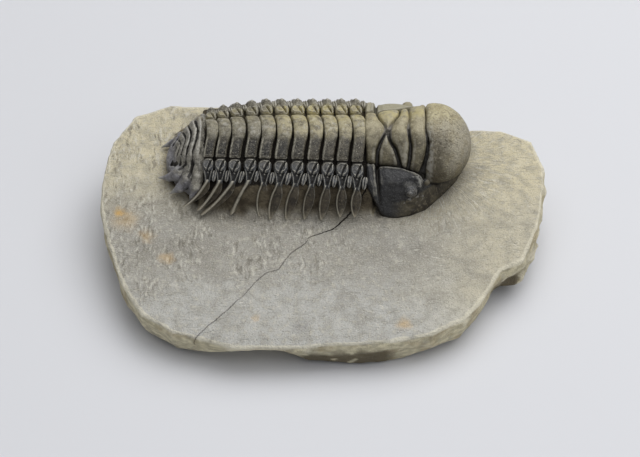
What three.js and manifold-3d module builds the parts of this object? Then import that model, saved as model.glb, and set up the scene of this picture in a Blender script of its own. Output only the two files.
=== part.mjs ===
// A cheirurid trilobite, freed from the rock and left standing on its slab of limestone.
// Millimetres. +X is the way the trilobite's head points, +Z is up, and the slab lies on z = 0.
// The slab's upper face is the old sea floor. It is tilted, so the trilobite is modelled in a
// bedding frame of its own: x along its body, y across it, z straight out of the sea floor.

import * as THREE from 'three';
import { mergeVertices } from 'three/addons/utils/BufferGeometryUtils.js';
import Module from 'manifold-3d';

const wasm = await Module();
wasm.setup();

// ---- Driving dimensions ----

const GAP = 0.35;                    // open joint between the shell and the rock
const BEDDING_TILT = THREE.MathUtils.degToRad(8);
const BEDDING_ORIGIN = new THREE.Vector3(-0.2, 17.6, 16.9);

// Where each ring of the thorax lies, from the one behind the head to the one before the tail.
const RING_X = [8.1, 4.4, 0.8, -2.9, -6.7, -10.9, -15, -18.8, -22.5, -26.3, -29.9];
const SEGMENTS = RING_X.length;
const RING_TOP = 14;                 // height of the axis of the body
const AXIS_HALF_WIDTH = 7.9;         // midline to axial furrow
const PLATE_THICKNESS = 1.3;
const SPINE_SWEEP = 5.4;             // how far back the last spines lean
const SPINE_SWEEP_POWER = 1.1;
const REAR_NARROWING = 0.2;          // the last segments are narrower by this share

const BULB = { x: 28, z: 8.2, front: 9.2, back: 2.6, side: 11.1, up: 8.4, down: 7.8 };
const EYE = { x: 21.8, y: 14.5, z: 7, radius: 1.7 };

const PYGIDIUM_FRONT_X = -32.15;
const PYGIDIUM_LENGTH = 8.6;

// ---- Materials ----

const stone = (color) => new THREE.MeshStandardMaterial({ color, roughness: 0.9, metalness: 0 });
const limestone = stone(0xa7a292);
const olive = stone(0x8b8468);
const umber = stone(0x5a5546);
const slate = stone(0x4c4c4b);

// ---- Small tools ----

const { lerp, clamp, smoothstep } = THREE.MathUtils;
const point = (x, y, z) => new THREE.Vector3(x, y, z);
const curve = (points, closed = false) => new THREE.CatmullRomCurve3(
  points.map(([x, y, z = 0]) => point(x, y, z)), closed);

/** Moves every vertex of a geometry to map(vertex) and joins the vertices that meet. */
function remap(geometry, map) {
  const position = geometry.getAttribute('position');
  const uv = geometry.getAttribute('uv');
  for (let i = 0; i < position.count; i += 1) {
    const vertex = new THREE.Vector3().fromBufferAttribute(position, i);
    const moved = map(vertex, uv.getX(i), uv.getY(i));
    position.setXYZ(i, moved.x, moved.y, moved.z);
  }
  geometry.deleteAttribute('normal');
  geometry.deleteAttribute('uv');
  return mergeVertices(geometry, 1e-4);
}

/**
 * A closed plate. place(along, across, out) gives the point for `along` the body (-1 back to
 * 1 front), `across` it (-1 to 1, +1 on the left) and `out` through its thickness (0 to 1).
 */
function plate(place, stepsAlong, stepsAcross) {
  const box = new THREE.BoxGeometry(2, 2, 1, stepsAlong, stepsAcross, 1);
  return remap(box, (vertex) => place(vertex.x, vertex.y, vertex.z + 0.5));
}

/** An ellipsoid whose half-axes can differ between its two ends. */
function lump(centre, { front, back, side, up, down }, around, rings) {
  return remap(new THREE.SphereGeometry(1, around, rings), (unit) => point(
    centre.x + unit.x * (unit.x > 0 ? front : back),
    centre.y - unit.z * side,
    centre.z + unit.y * (unit.y > 0 ? up : down),
  ));
}

function toSolid(geometry) {
  return new wasm.Manifold(new wasm.Mesh({
    numProp: 3,
    vertProperties: new Float32Array(geometry.getAttribute('position').array),
    triVerts: new Uint32Array(geometry.getIndex().array),
  }));
}

function toGeometry(solid) {
  const mesh = solid.getMesh();
  const geometry = new THREE.BufferGeometry();
  geometry.setAttribute('position', new THREE.BufferAttribute(mesh.vertProperties, 3));
  geometry.setIndex(new THREE.BufferAttribute(mesh.triVerts, 1));
  return geometry;
}

const join = (geometries) => geometries.map(toSolid).reduce((sum, solid) => sum.add(solid));

function piece(name, geometry, material) {
  geometry.computeVertexNormals();
  const mesh = new THREE.Mesh(geometry, material);
  mesh.name = name;
  return mesh;
}

// ---- The section across the body, from the midline out and down to a spine tip ----

// x is the distance from the midline, y the height above the sea floor.
const SECTION = curve([
  [0, RING_TOP], [3.6, 13.6], [6.4, 12.5], [AXIS_HALF_WIDTH, 10.9], [9.7, 11.1],
  [11.7, 9.9], [13.3, 8.1], [14.7, 6.6], [16.2, 4.4], [17.4, 2.5], [18.4, 1],
]);
const LEFT_SPREAD = 0.9;             // the left flank lies a little flatter than the right one
const LEFT_LIFT = 1.4;

/** A point on the section: side is -1 (right) to 1 (left), depth goes inwards from it. */
function sectionPoint(side, depth) {
  const share = Math.min(Math.abs(side), 1);
  const place = SECTION.getPoint(share);
  const run = SECTION.getTangent(share);
  const flank = smoothstep(side, 0.35, 0.6) * (1 - 0.7 * smoothstep(side, 0.7, 1));
  return {
    y: Math.sign(side) * (place.x + run.y * depth) + LEFT_SPREAD * flank,
    z: place.y - run.x * depth + LEFT_LIFT * flank,
  };
}

// ---- Slab and mound ----

// Each corner of the slab: x and y of its upper edge, how far its lower edge is drawn in
// towards the middle, and how far that lower edge is lifted clear of the ground.
const SLAB_CORNERS = [
  [-57, 12, 3, 2], [-56.4, 4, 3, 2], [-53.7, -7.3, 3, 2], [-49.8, -19, 3, 1.6],
  [-44, -28.4, 2.6, 1.4], [-36.5, -33.8, 2.2, 1.2], [-27.5, -36, 1.6, 1.5],
  [-20, -37.6, 1.8, 5.4], [-12, -37.9, 2, 5.4], [-4, -37.5, 2, 1.2], [6.2, -37.1, 1.6, 0.4],
  [15.4, -36.3, 1.6, 0.4], [25.5, -34.3, 2, 1], [33.4, -30.3, 2, 1.2], [38.6, -23.5, 2.4, 1.6],
  [43.2, -15.8, 1.6, 3], [49, -12.4, 0.2, 3.4], [53.3, -2.6, 0.4, 4], [55.4, 8, 2, 3.6],
  [56.8, 16.5, 3.6, 3.4], [54, 25.2, 4.4, 3.4], [46.4, 28.9, 4, 3], [35, 29.6, 3.6, 2.6],
  [22, 33.4, 3.4, 2.4], [6, 36.6, 3, 2.2], [-12, 37.7, 3, 2], [-30, 37.4, 3, 2],
  [-41, 37.9, 3.2, 2], [-50.4, 34, 3.4, 2.4], [-55.3, 25, 3.4, 2.2],
];
const UPPER_EDGE = curve(SLAB_CORNERS.map(([x, y]) => [x, y]), true);
const LOWER_EDGE = curve(SLAB_CORNERS.map(([, , inset, lift]) => [inset, lift]), true);
const EDGE_CHAMFER = 0.7;            // drop of the worn upper edge
const SIDE_BULGE = 0.8;
const FOOT_SHARE = 0.86;             // the flat patch it rests on, as a share of the outline
const SLAB_STEPS_AROUND = 58;

const slabTop = (y) => BEDDING_ORIGIN.z + (y - BEDDING_ORIGIN.y) * Math.tan(BEDDING_TILT);

// The slab's rows of vertices, from the middle of its top out, down its side and in again
// under its foot: each gives distance from the middle and height at one corner.
const onTop = (share) => ({ reach, top }) => [reach * share, top(share)];
const onSide = (share) => ({ reach, foot, lift, top }) => [
  lerp(reach, foot, share ** 1.5) + SIDE_BULGE * Math.sin(share * Math.PI),
  lerp(top(1) - EDGE_CHAMFER, lift, share),
];
const onFoot = (share) => ({ foot }) => [foot * FOOT_SHARE * share, 0];
const SLAB_ROWS = [
  onTop(0), onTop(0.42), onTop(0.75), onTop(0.94), onTop(0.995),
  onSide(0.1), onSide(0.33), onSide(0.67), onSide(1), onFoot(1), onFoot(0.5), onFoot(0),
];

function slab() {
  const last = SLAB_ROWS.length - 1;
  const sphere = new THREE.SphereGeometry(1, SLAB_STEPS_AROUND, last);
  return remap(sphere, (_, u, v) => {
    const edge = UPPER_EDGE.getPoint(u % 1);
    const { x: inset, y: lift } = LOWER_EDGE.getPoint(u % 1);
    const reach = Math.hypot(edge.x, edge.y);
    const top = (share) => slabTop(edge.y * share);
    const row = SLAB_ROWS[Math.round((1 - v) * last)];
    const [distance, z] = row({ reach, foot: reach - inset, lift, top });
    return point(edge.x / reach * distance, edge.y / reach * distance, z);
  });
}

const MOUND_BOTTOM = -4;             // well inside the slab
// Half the width and the height of the mound of rock under the shell, along the body.
const MOUND = [
  { x: -39.5, width: 5, height: 0.6 }, { x: -36.5, width: 9.5, height: 4 },
  { x: -33.4, width: 12.4, height: 8.6 }, { x: -30, width: 14, height: 11.4 },
  { x: -10, width: 15.4, height: 11.8 }, { x: 10, width: 15.4, height: 11.8 },
  { x: 16, width: 15.2, height: 9.6 }, { x: 21, width: 12.6, height: 8 },
  { x: 23.4, width: 8, height: 5.5 },
];

const moundPoint = (grown) => (along, across, out) => {
  const place = (along + 1) / 2 * (MOUND.length - 1);
  const index = Math.min(Math.floor(place), MOUND.length - 2);
  const [rear, fore] = [MOUND[index], MOUND[index + 1]];
  const share = place - index;
  const width = lerp(rear.width, fore.width, share) + grown;
  const height = lerp(rear.height, fore.height, share);
  const side = Math.abs(across);
  const crown = height * (1 - side ** 3.2) - 0.8 * side + grown;
  const x = lerp(rear.x, fore.x, share) + along * grown;
  return point(x, across * width, out > 0.5 ? crown : MOUND_BOTTOM);
};

const BEDDING = new THREE.Matrix4().makeRotationX(BEDDING_TILT).setPosition(BEDDING_ORIGIN);

/** Slab and mound as one solid, raised by `grown` where the shell lies on it. */
function matrix(grown = 0) {
  const mound = plate(moundPoint(grown), 16, 12).applyMatrix4(BEDDING);
  return join([slab().translate(0, 0, grown), mound]);
}

/** The shell's plates keep clear of the rock: this is the rock and the joint around it. */
const rockAndJoint = matrix(GAP).transform(BEDDING.clone().invert().elements);
const onRock = (solid) => toGeometry(solid.subtract(rockAndJoint));

// ---- Thoracic segments ----

// Half the length of a segment along the body, from its ring out to its spine's tip.
const HALF_LENGTH = curve([
  [0, 1.6], [0.34, 1.6], [0.42, 1.35], [0.5, 1.4], [0.58, 1], [0.66, 0.75], [0.76, 1.3],
  [0.86, 1.1], [0.94, 0.7], [1, 0.25],
]);

/** index 0 is the segment behind the head. */
function thoracicSegment(index) {
  const sweep = SPINE_SWEEP * (index / (SEGMENTS - 1)) ** SPINE_SWEEP_POWER;
  const narrowing = 1 - REAR_NARROWING * smoothstep(index, SEGMENTS - 4.5, SEGMENTS - 0.5);
  const geometry = plate((along, across, out) => {
    const side = Math.abs(across);
    const half = HALF_LENGTH.getPoint(side).y;
    const lean = sweep * smoothstep(side, 0.55, 1) * smoothstep(side, 0.3, 1);
    const roll = side < 0.45 ? 0.55 * along * along : 0.25 * along * along;
    const { y, z } = sectionPoint(across, (1 - out) * PLATE_THICKNESS * (1 - 0.45 * side) + roll);
    return point(RING_X[index] + along * half - lean, y * lerp(1, narrowing, side), z);
  }, 2, 16);
  return toSolid(geometry);
}

// ---- Head ----

const LOBE_DEPTH = 2.4;

/** A raised band over the glabella; rear and front are its x at the midline and at the side. */
function glabellaBand(rear, front, halfWidth, top, drop) {
  return plate((along, across, out) => {
    const side = Math.abs(across);
    const x = lerp(lerp(rear[0], rear[1], side), lerp(front[0], front[1], side), (along + 1) / 2);
    const crown = top - drop * side ** 2.6 - 0.35 * along * along;
    return point(x, across * halfWidth * (1 - 0.04 * (1 - out)), crown - (1 - out) * LOBE_DEPTH);
  }, 2, 10);
}

/** The first side lobe of the glabella, a triangle cut off by two furrows that meet. */
function basalLobe(sign) {
  return plate((along, across, out) => {
    const share = (across * sign + 1) / 2;
    const x = lerp(lerp(15.7, 13.9, share), lerp(16.1, 18.7, share), (along + 1) / 2);
    const y = sign * lerp(2.4, 9, share);
    const crown = 14 - 2.9 * share ** 2.4 - 0.3 * along * along;
    return point(x, y, crown - (1 - out) * LOBE_DEPTH);
  }, 2, 5);
}

/** The fixed cheek from the axial furrow down to the margin and the corner behind it. */
function fixedCheek(sign) {
  return plate((along, across, out) => {
    const share = (across * sign + 1) / 2;
    const width = lerp(8.6, 17.3, share);
    const rear = lerp(10.2, 14.4, share ** 4);
    const front = lerp(23.6, 19.1, smoothstep(share, 0.16, 0.32));
    const height = 10.7 - 9.1 * clamp((width - 8.5) / 9.3, 0, 1) ** 2.4;
    return point(lerp(rear, front, (along + 1) / 2), sign * width, height - (1 - out) * 1.2);
  }, 4, 6);
}

function cranidium() {
  const bulb = lump(point(BULB.x, 0, BULB.z), BULB, 20, 12);
  const core = glabellaBand([11.5, 11.5], [26, 26], 8.8, 12.9, 2.3);
  const occipitalRing = glabellaBand([10.2, 10], [14.4, 12.6], 8.4, 14.3, 3.3);
  const secondLobes = glabellaBand([16.9, 20.1], [21.7, 21.7], 9.4, 14.6, 3.4);
  const thirdLobes = glabellaBand([22.6, 22.6], [25.3, 25.3], 10, 15, 4);
  const sides = [-1, 1].flatMap((sign) => [basalLobe(sign), fixedCheek(sign)]);
  return join([bulb, core, occipitalRing, secondLobes, thirdLobes, ...sides]);
}

// Inner and outer edge of a free cheek, from the suture behind the eye to the front.
const CHEEK_INNER = curve([
  [19.6, 11.9, 9.3], [24.6, 10.9, 8.8], [27.8, 10.5, 5.2], [32.2, 7.4, 2.6], [34.6, 2.4, 1.9],
]);
const CHEEK_OUTER = curve([
  [19.5, 17.4, 1.7], [24, 15.6, 1.7], [28.8, 12.1, 1.7], [33, 7.6, 1.6], [36, 1.4, 1.6],
]);
const CHEEK_THICKNESS = 1.1;

function freeCheek(sign) {
  const shield = plate((along, across, out) => {
    const inner = CHEEK_INNER.getPoint((along + 1) / 2);
    const outer = CHEEK_OUTER.getPoint((along + 1) / 2);
    const share = (across * sign + 1) / 2;
    const place = new THREE.Vector3().lerpVectors(inner, outer, share);
    const height = lerp(inner.z, outer.z, share ** 2.6);
    const depth = (1 - out) * CHEEK_THICKNESS;
    return point(place.x, sign * (place.y - depth * 0.5 * share), height - depth);
  }, 6, 5);
  const { x, y, z, radius } = EYE;
  const ball = { front: radius * 1.2, back: radius * 1.2, side: radius, up: radius, down: radius };
  return join([shield, lump(point(x, sign * y, z), ball, 10, 8)]);
}

// ---- Tail shield ----

// Height of its midline and half of its width, from its front edge to its rear one.
const TAIL_MIDLINE = curve([[0, 13], [0.3, 11.4], [0.6, 8], [0.85, 5], [1, 3.2]]);
const TAIL_WIDTH = curve([[0, 13.2], [0.35, 11.8], [0.7, 8.6], [1, 5]]);
const TAIL_EDGE_HEIGHT = 2.6;
const TAIL_SPINES = [
  { base: [-37.6, 6.4, 3.6], tip: [-42.5, 5.5, 2.4], radius: 1.3 },
  { base: [-35.2, 9.4, 4.2], tip: [-39.4, 10.6, 2], radius: 1.4 },
  { base: [-33.6, 11.4, 6], tip: [-35.4, 13.6, 1.6], radius: 1.2 },
];

function tailPlate() {
  return plate((along, across, out) => {
    const back = (1 - along) / 2;
    const side = Math.abs(across);
    const width = TAIL_WIDTH.getPoint(back).y;
    const top = TAIL_MIDLINE.getPoint(back).y;
    const crown = lerp(top, TAIL_EDGE_HEIGHT, side ** 2.3);
    const inwards = (1 - out) * PLATE_THICKNESS;
    return point(PYGIDIUM_FRONT_X - back * PYGIDIUM_LENGTH + inwards * back * 0.5,
      across * width * (1 - 0.07 * (1 - out)), crown - inwards * (1 - 0.2 * side));
  }, 6, 12);
}

/** A cone from one point to another, blunt at its tip. */
function spike(base, tip, radius) {
  const axis = tip.clone().sub(base);
  const cone = new THREE.CylinderGeometry(0.25, radius, axis.length(), 7);
  cone.translate(0, axis.length() / 2, 0);
  const turn = new THREE.Quaternion().setFromUnitVectors(point(0, 1, 0), axis.normalize());
  cone.applyQuaternion(turn);
  cone.translate(base.x, base.y, base.z);
  return remap(cone, (vertex) => vertex);
}

function tailSpine({ base, tip, radius }, sign) {
  const mirrored = ([x, y, z]) => point(x, sign * y, z);
  return spike(mirrored(base), mirrored(tip), radius);
}

function pygidium() {
  const spines = [-1, 1].flatMap((sign) => TAIL_SPINES.map((spine) => tailSpine(spine, sign)));
  return join([tailPlate(), ...spines]);
}

// ---- Assembly ----

const fossil = new THREE.Group();
fossil.rotation.x = BEDDING_TILT;
fossil.position.copy(BEDDING_ORIGIN);
fossil.add(piece('cranidium', onRock(cranidium()), olive));
fossil.add(piece('free_cheek_right', onRock(freeCheek(-1)), slate));
fossil.add(piece('free_cheek_left', onRock(freeCheek(1)), slate));
for (let index = 0; index < SEGMENTS; index += 1) {
  const name = `thoracic_segment_${String(index + 1).padStart(2, '0')}`;
  fossil.add(piece(name, onRock(thoracicSegment(index)), umber));
}
fossil.add(piece('pygidium', onRock(pygidium()), slate));

const group = new THREE.Group();
group.add(piece('matrix', toGeometry(matrix()), limestone), fossil);

// Centre the whole part over its origin, standing on z = 0.
const box = new THREE.Box3().setFromObject(group, true);
const centre = box.getCenter(new THREE.Vector3());
group.position.set(-centre.x, -centre.y, -box.min.z);

export default group;
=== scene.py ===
import math

import bpy
import numpy as np
import openvdb
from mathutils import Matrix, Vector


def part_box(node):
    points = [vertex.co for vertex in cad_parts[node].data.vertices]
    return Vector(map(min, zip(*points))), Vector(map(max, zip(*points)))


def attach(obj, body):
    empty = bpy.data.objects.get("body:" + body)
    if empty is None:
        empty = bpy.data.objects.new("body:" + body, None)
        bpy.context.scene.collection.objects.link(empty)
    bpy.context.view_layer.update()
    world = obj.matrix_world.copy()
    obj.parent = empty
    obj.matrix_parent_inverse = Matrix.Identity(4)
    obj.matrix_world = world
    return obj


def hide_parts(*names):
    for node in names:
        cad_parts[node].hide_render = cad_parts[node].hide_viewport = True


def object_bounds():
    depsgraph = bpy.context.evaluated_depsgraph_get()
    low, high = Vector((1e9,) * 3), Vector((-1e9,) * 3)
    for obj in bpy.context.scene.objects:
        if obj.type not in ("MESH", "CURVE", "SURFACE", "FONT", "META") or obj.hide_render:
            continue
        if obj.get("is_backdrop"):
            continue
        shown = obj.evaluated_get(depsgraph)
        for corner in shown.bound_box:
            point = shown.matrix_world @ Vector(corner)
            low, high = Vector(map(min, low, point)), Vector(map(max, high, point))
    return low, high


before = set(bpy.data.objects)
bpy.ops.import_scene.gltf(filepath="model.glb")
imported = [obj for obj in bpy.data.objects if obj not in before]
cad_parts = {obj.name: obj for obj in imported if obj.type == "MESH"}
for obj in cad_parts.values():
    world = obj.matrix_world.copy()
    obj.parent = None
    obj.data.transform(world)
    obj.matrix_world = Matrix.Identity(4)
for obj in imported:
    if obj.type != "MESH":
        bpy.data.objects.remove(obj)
cad_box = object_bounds()


# ---- The slab ----
# One stone of grey-cream limestone, broken off around the fossil and scraped level above. Its
# old sea floor slopes, a crack runs over it, and a mound of it is left under the shell.

MM = 0.001
BEDDING_TILT = math.radians(8)
BEDDING_ORIGIN = np.array([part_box("cranidium")[1].x / MM - 37.2, 17.6, 16.9])
COS, SIN = math.cos(BEDDING_TILT), math.sin(BEDDING_TILT)

# Each corner of the slab: x and y of its upper edge, how far its lower edge is drawn in, and
# how far that lower edge is lifted clear of the ground.
SLAB_CORNERS = [
    (-57, 12, 3, 2), (-56.4, 4, 3, 2), (-53.7, -7.3, 3, 2), (-49.8, -19, 3, 1.6),
    (-44, -28.4, 2.6, 1.4), (-36.5, -33.8, 2.2, 1.2), (-27.5, -36, 1.6, 3.4),
    (-20, -37.6, 2.4, 6), (-12, -37.9, 2.4, 6), (-4, -37.5, 2, 1.6), (6.2, -37.1, 1.6, 0.4),
    (15.4, -36.3, 1.6, 0.4), (25.5, -34.3, 2, 1), (33.4, -30.3, 2, 1.2), (38.6, -23.5, 2.4, 1.6),
    (43.2, -15.8, 1.6, 3), (49, -12.4, 0.2, 3.4), (53.3, -2.6, 0.4, 4), (55.4, 8, 2, 3.6),
    (56.8, 16.5, 3.6, 3.4), (54, 25.2, 4.4, 3.4), (46.4, 28.9, 4, 3), (35, 29.6, 3.6, 2.6),
    (22, 33.4, 3.4, 2.4), (6, 36.6, 3, 2.2), (-12, 37.7, 3, 2), (-30, 37.4, 3, 2),
    (-41, 37.9, 3.2, 2), (-50.4, 34, 3.4, 2.4), (-55.3, 25, 3.4, 2.2),
]
SLAB_CELL = 0.5

# The body's section, from the midline out and down each flank to a spine's tip. The left flank
# lies flatter than the right one.
RIGHT_FLANK = [
    (0, 13.2), (3.6, 12.9), (6.4, 11.9), (8.4, 10.9), (10.2, 10.2), (11.8, 9.2), (13.3, 7.7),
    (14.7, 6.2), (16.2, 4), (17.4, 2.2), (18.4, 0.7),
]
LEFT_FLANK = [
    (0, 13.2), (3.4, 12.8), (5.6, 11.7), (7.3, 10.5), (9, 10.2), (10.7, 9.8), (12.7, 9.1),
    (14.6, 7.8), (16.3, 5.6), (17.7, 3.3), (19, 0.9),
]
# The crack over the sea floor, from the front edge to the corner of the head, and its depth.
CRACK = [
    (-33.4, -55.6, 0.3), (-31, -53.8, 0.35), (-26.5, -49, 0.4), (-23.6, -45.8, 0.45),
    (-20.2, -41.9, 0.45), (-18.4, -39.4, 0.4), (-16.1, -36.1, 0.5), (-14.2, -34.2, 0.35),
    (-11.2, -33.1, 0.4), (-8.6, -28.5, 0.45), (-4.9, -25.3, 0.35), (-3.7, -23.2, 0.4),
    (2, -21, 0.5), (3.8, -19.5, 0.55), (8.6, -15.8, 0.55), (10.4, -13.7, 0.5),
]


def from_bedding(points):
    """Points measured from the old sea floor, as points of the standing part."""
    x, y, z = np.asarray(points, float).T
    return np.stack([x, COS * y - SIN * z, SIN * y + COS * z], 1) + BEDDING_ORIGIN


def smoothstep(value, low, high):
    t = np.clip((value - low) / (high - low), 0, 1)
    return t * t * (3 - 2 * t)


def soft_min(a, b, blend):
    """The lesser of two depths, with a fillet where they meet."""
    h = np.clip(0.5 + 0.5 * (b - a) / blend, 0, 1)
    return b + (a - b) * h - blend * h * (1 - h)


def soft_max(a, b, blend):
    return -soft_min(-a, -b, blend)


def ridge(distance, width):
    """The height of a rounded ridge, 1 along its crest, at a distance from the crest."""
    return np.exp(-(distance / width)**2)


def smooth_line(points, steps=12):
    """Points along a smooth line through the given ones."""
    p = np.asarray(points, float)
    p = np.vstack([2 * p[:1] - p[1:2], p, 2 * p[-1:] - p[-2:-1]])
    t = np.linspace(0, 1, steps, endpoint=False)[:, None]
    line = [
        0.5 * (
            2 * b + (c - a) * t + (2 * a - 5 * b + 4 * c - d) * t**2
            + (3 * b - a - 3 * c + d) * t**3
        ) for a, b, c, d in zip(p[:-3], p[1:-2], p[2:-1], p[3:])
    ]
    return np.vstack(line + [p[-2:-1]])


def along_line(x, y, line):
    """Distance from each point to an open line, and the line's further values at that place."""
    line = np.asarray(line, float)
    nearest = np.full(np.broadcast(x, y).shape, 1e9)
    values = [np.zeros_like(nearest) for _ in range(line.shape[1] - 2)]
    for a, b in zip(line[:-1], line[1:]):
        d = b[:2] - a[:2]
        t = np.clip(((x - a[0]) * d[0] + (y - a[1]) * d[1]) / (d @ d), 0, 1)
        gap = np.hypot(x - a[0] - t * d[0], y - a[1] - t * d[1])
        near = gap < nearest
        nearest = np.where(near, gap, nearest)
        for k, value in enumerate(values):
            values[k] = np.where(near, a[k + 2] + t * (b[k + 2] - a[k + 2]), value)
    return nearest, values


def within_outline(x, y, line):
    """Distance to a closed outline, negative inside it, and its further values there."""
    ring = np.vstack([line, line[:1]])
    nearest, values = along_line(x, y, ring)
    inside = np.zeros(nearest.shape, bool)
    for a, b in zip(ring[:-1], ring[1:]):
        crosses = (a[1] > y) != (b[1] > y)
        inside ^= crosses & (x < (b[0] - a[0]) * (y - a[1]) / (b[1] - a[1] + 1e-12) + a[0])
    return np.where(inside, -nearest, nearest), values


LUMP_TURN = np.linalg.qr(np.random.default_rng(5).normal(size=(3, 3)))[0].astype(np.float32)


def cell_key(cell, seed):
    """A whole number for each cell of space, different for every seed."""
    return cell @ np.array([73856093, 19349663, 83492791]) + seed * 2654435761


def stirred(key):
    return (key ^ (key >> 13)) * 1274126177 & 0x7FFFFFFF


def lumps(points, size, seed):
    """Smooth random swells from -1 to 1, each about `size` across."""
    p = np.asarray(points, np.float32) @ LUMP_TURN / size + seed * 17.3
    cell = np.floor(p).astype(np.int64)
    t = p - cell
    t = t * t * (3 - 2 * t)
    total = np.zeros(p.shape[:-1], np.float32)
    for corner in np.ndindex(2, 2, 2):
        key = stirred(cell_key(cell + corner, seed))
        key = (key ^ (key >> 16)) & 0xFFFF
        share = np.where(corner, t, 1 - t).prod(-1)
        total += share * (key / 32767.5 - 1)
    return total


def pits(points, size, seed):
    """Distance to the nearest of a scatter of points, about `size` apart, in shares of it."""
    p = np.asarray(points, np.float32) / size
    cell = np.floor(p).astype(np.int64)
    nearest = np.full(p.shape[:-1], 9.0, np.float32)
    for step in np.ndindex(3, 3, 3):
        around = cell + np.array(step) - 1
        key = cell_key(around, seed)
        jitter = []
        for _ in range(3):
            key = stirred(key)
            jitter.append(((key >> 7) & 0xFFFF) / 65536)
        spot = around + np.stack(jitter, -1)
        nearest = np.minimum(nearest, np.linalg.norm(spot - p, axis=-1))
    return nearest


def block(low, high, cell):
    """The grid lines of a block of space, shaped to spread over one another."""
    x, y, z = (np.arange(a, b + cell, cell, dtype=np.float32) for a, b in zip(low, high))
    return x[:, None, None], y[None, :, None], z[None, None, :]


def skin(depth, low, cell):
    """The closed skin where depth passes zero: its points and its four-sided faces."""
    grid = openvdb.FloatGrid(background=3.0)
    grid.copyFromArray(np.ascontiguousarray(np.clip(depth / cell, -3, 3), dtype=np.float32))
    points, faces = grid.convertToQuads(isovalue=0.0)
    return points.astype(float) * cell + np.array(low), faces.astype(np.int64)


def outward(points, faces):
    """The direction straight out of the skin at each point."""
    a, b, c, d = (points[faces[:, k]] for k in range(4))
    across = np.cross(c - a, d - b)
    count = len(points)
    total = np.stack([
        sum(np.bincount(faces[:, k], across[:, axis], count) for k in range(4)) for axis in range(3)
    ], 1)
    return total / np.maximum(np.linalg.norm(total, axis=1), 1e-9)[:, None]


def hollowness(points, faces, rounds):
    """How far each point lies below (+) or above (-) the level of the skin around it."""
    start, end = np.vstack([faces[:, [k, (k + 1) % 4]] for k in range(4)]).T
    count = np.bincount(start, minlength=len(points))
    level = points.copy()
    for _ in range(rounds):
        level = np.stack([np.bincount(start, level[end, k], len(points)) for k in range(3)], 1)
        level /= np.maximum(count, 1)[:, None]
    return ((level - points) * outward(points, faces)).sum(1)


def stand(name, data):
    """An object of the given data, put in the scene."""
    thing = bpy.data.objects.new(name, data)
    bpy.context.scene.collection.objects.link(thing)
    return thing


def make_piece(name, points, faces, **marks):
    """A mesh object of the standing part, in metres, with a value at each point for each mark."""
    mesh = bpy.data.meshes.new(name)
    mesh.from_pydata((np.asarray(points) * MM).tolist(), [], faces.tolist())
    for mark, values in marks.items():
        layer = mesh.attributes.new(mark, "FLOAT", "POINT")
        layer.data.foreach_set("value", np.asarray(values, np.float32))
    mesh.shade_smooth()
    return stand(name, mesh)


def mirrored(outline):
    """The right half of an outline, from back to front, with its left half added."""
    return np.array(outline + [(a, -b) for a, b in outline[-2::-1]])


def slab_top(y):
    return BEDDING_ORIGIN[2] + (y - BEDDING_ORIGIN[1]) * math.tan(BEDDING_TILT)


def flank_height(across):
    """Height of the body's section above the sea floor at a distance from the midline."""
    right, left = (
        np.interp(np.abs(across), *smooth_line(flank).T)
        for flank in (RIGHT_FLANK + [(22, -5)], LEFT_FLANK + [(22.6, -5)])
    )
    return np.where(across > 0, left, right)


# The right edge of the head shield, from the back to the front.
HEAD_MARGIN = [
    (10.5, 13.6), (12.2, 15.4), (14, 16.7), (16, 17.3), (18.2, 17.4), (21.6, 16.7), (25.5, 14.9),
    (28.3, 11.9), (31, 9), (33.6, 5.8), (35.3, 2.6), (35.8, 0),
]


def cheek_height(x, side, margin):
    """Height of the cheeks' domed upper face, from the axial furrow out to the margin."""
    drop = np.clip((side - 8.5) / 9.3, 0, 1.2)
    back = 10.6 - 9.2 * drop**2.5
    front = np.interp(x, [24, 28, 32, 36], [10.6, 6.4, 4, 2.4])
    height = np.minimum(back, np.maximum(front - 2.6 * np.clip((side - 6) / 9, 0, 1.2)**2, 1.6))
    fall = np.clip(1 + margin / 5, 0, 1)**2 * smoothstep(x, 12, 16)
    return height + (0.9 - height) * fall


# The tail's height along its midline, and half its width.
TAIL_MIDLINE = [
    (-29.6, 13.1), (-30.8, 12.9), (-32.5, 12.4), (-34.7, 10.6), (-37.3, 7.4), (-39.4, 4.8),
    (-40.8, 3.2),
]
TAIL_WIDTH = [(-40.8, 4.8), (-38.2, 8.2), (-35.2, 11.4), (-32.2, 14), (-30.6, 15)]


def tail_height(x, side):
    """Height of the tail shield's plain upper face, from its midline out to its edge."""
    middle, width = smooth_line(TAIL_MIDLINE)[::-1], smooth_line(TAIL_WIDTH)
    top = np.interp(x, middle[:, 0], middle[:, 1])
    share = side / np.interp(x, width[:, 0], width[:, 1])
    return top + (2.2 - top) * np.clip(share, 0, 1.15)**2.7


def look_up(table, low, cell, x, y):
    """Values of a flat table of grid points at any places, blended between its points."""
    u = np.clip((x - low[0]) / cell, 0, table.shape[0] - 1.001)
    v = np.clip((y - low[1]) / cell, 0, table.shape[1] - 1.001)
    i, j = u.astype(np.int32), v.astype(np.int32)
    u, v = u - i, v - j
    back = table[i, j] * (1 - u) + table[i + 1, j] * u
    fore = table[i, j + 1] * (1 - u) + table[i + 1, j + 1] * u
    return back * (1 - v) + fore * v


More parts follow.
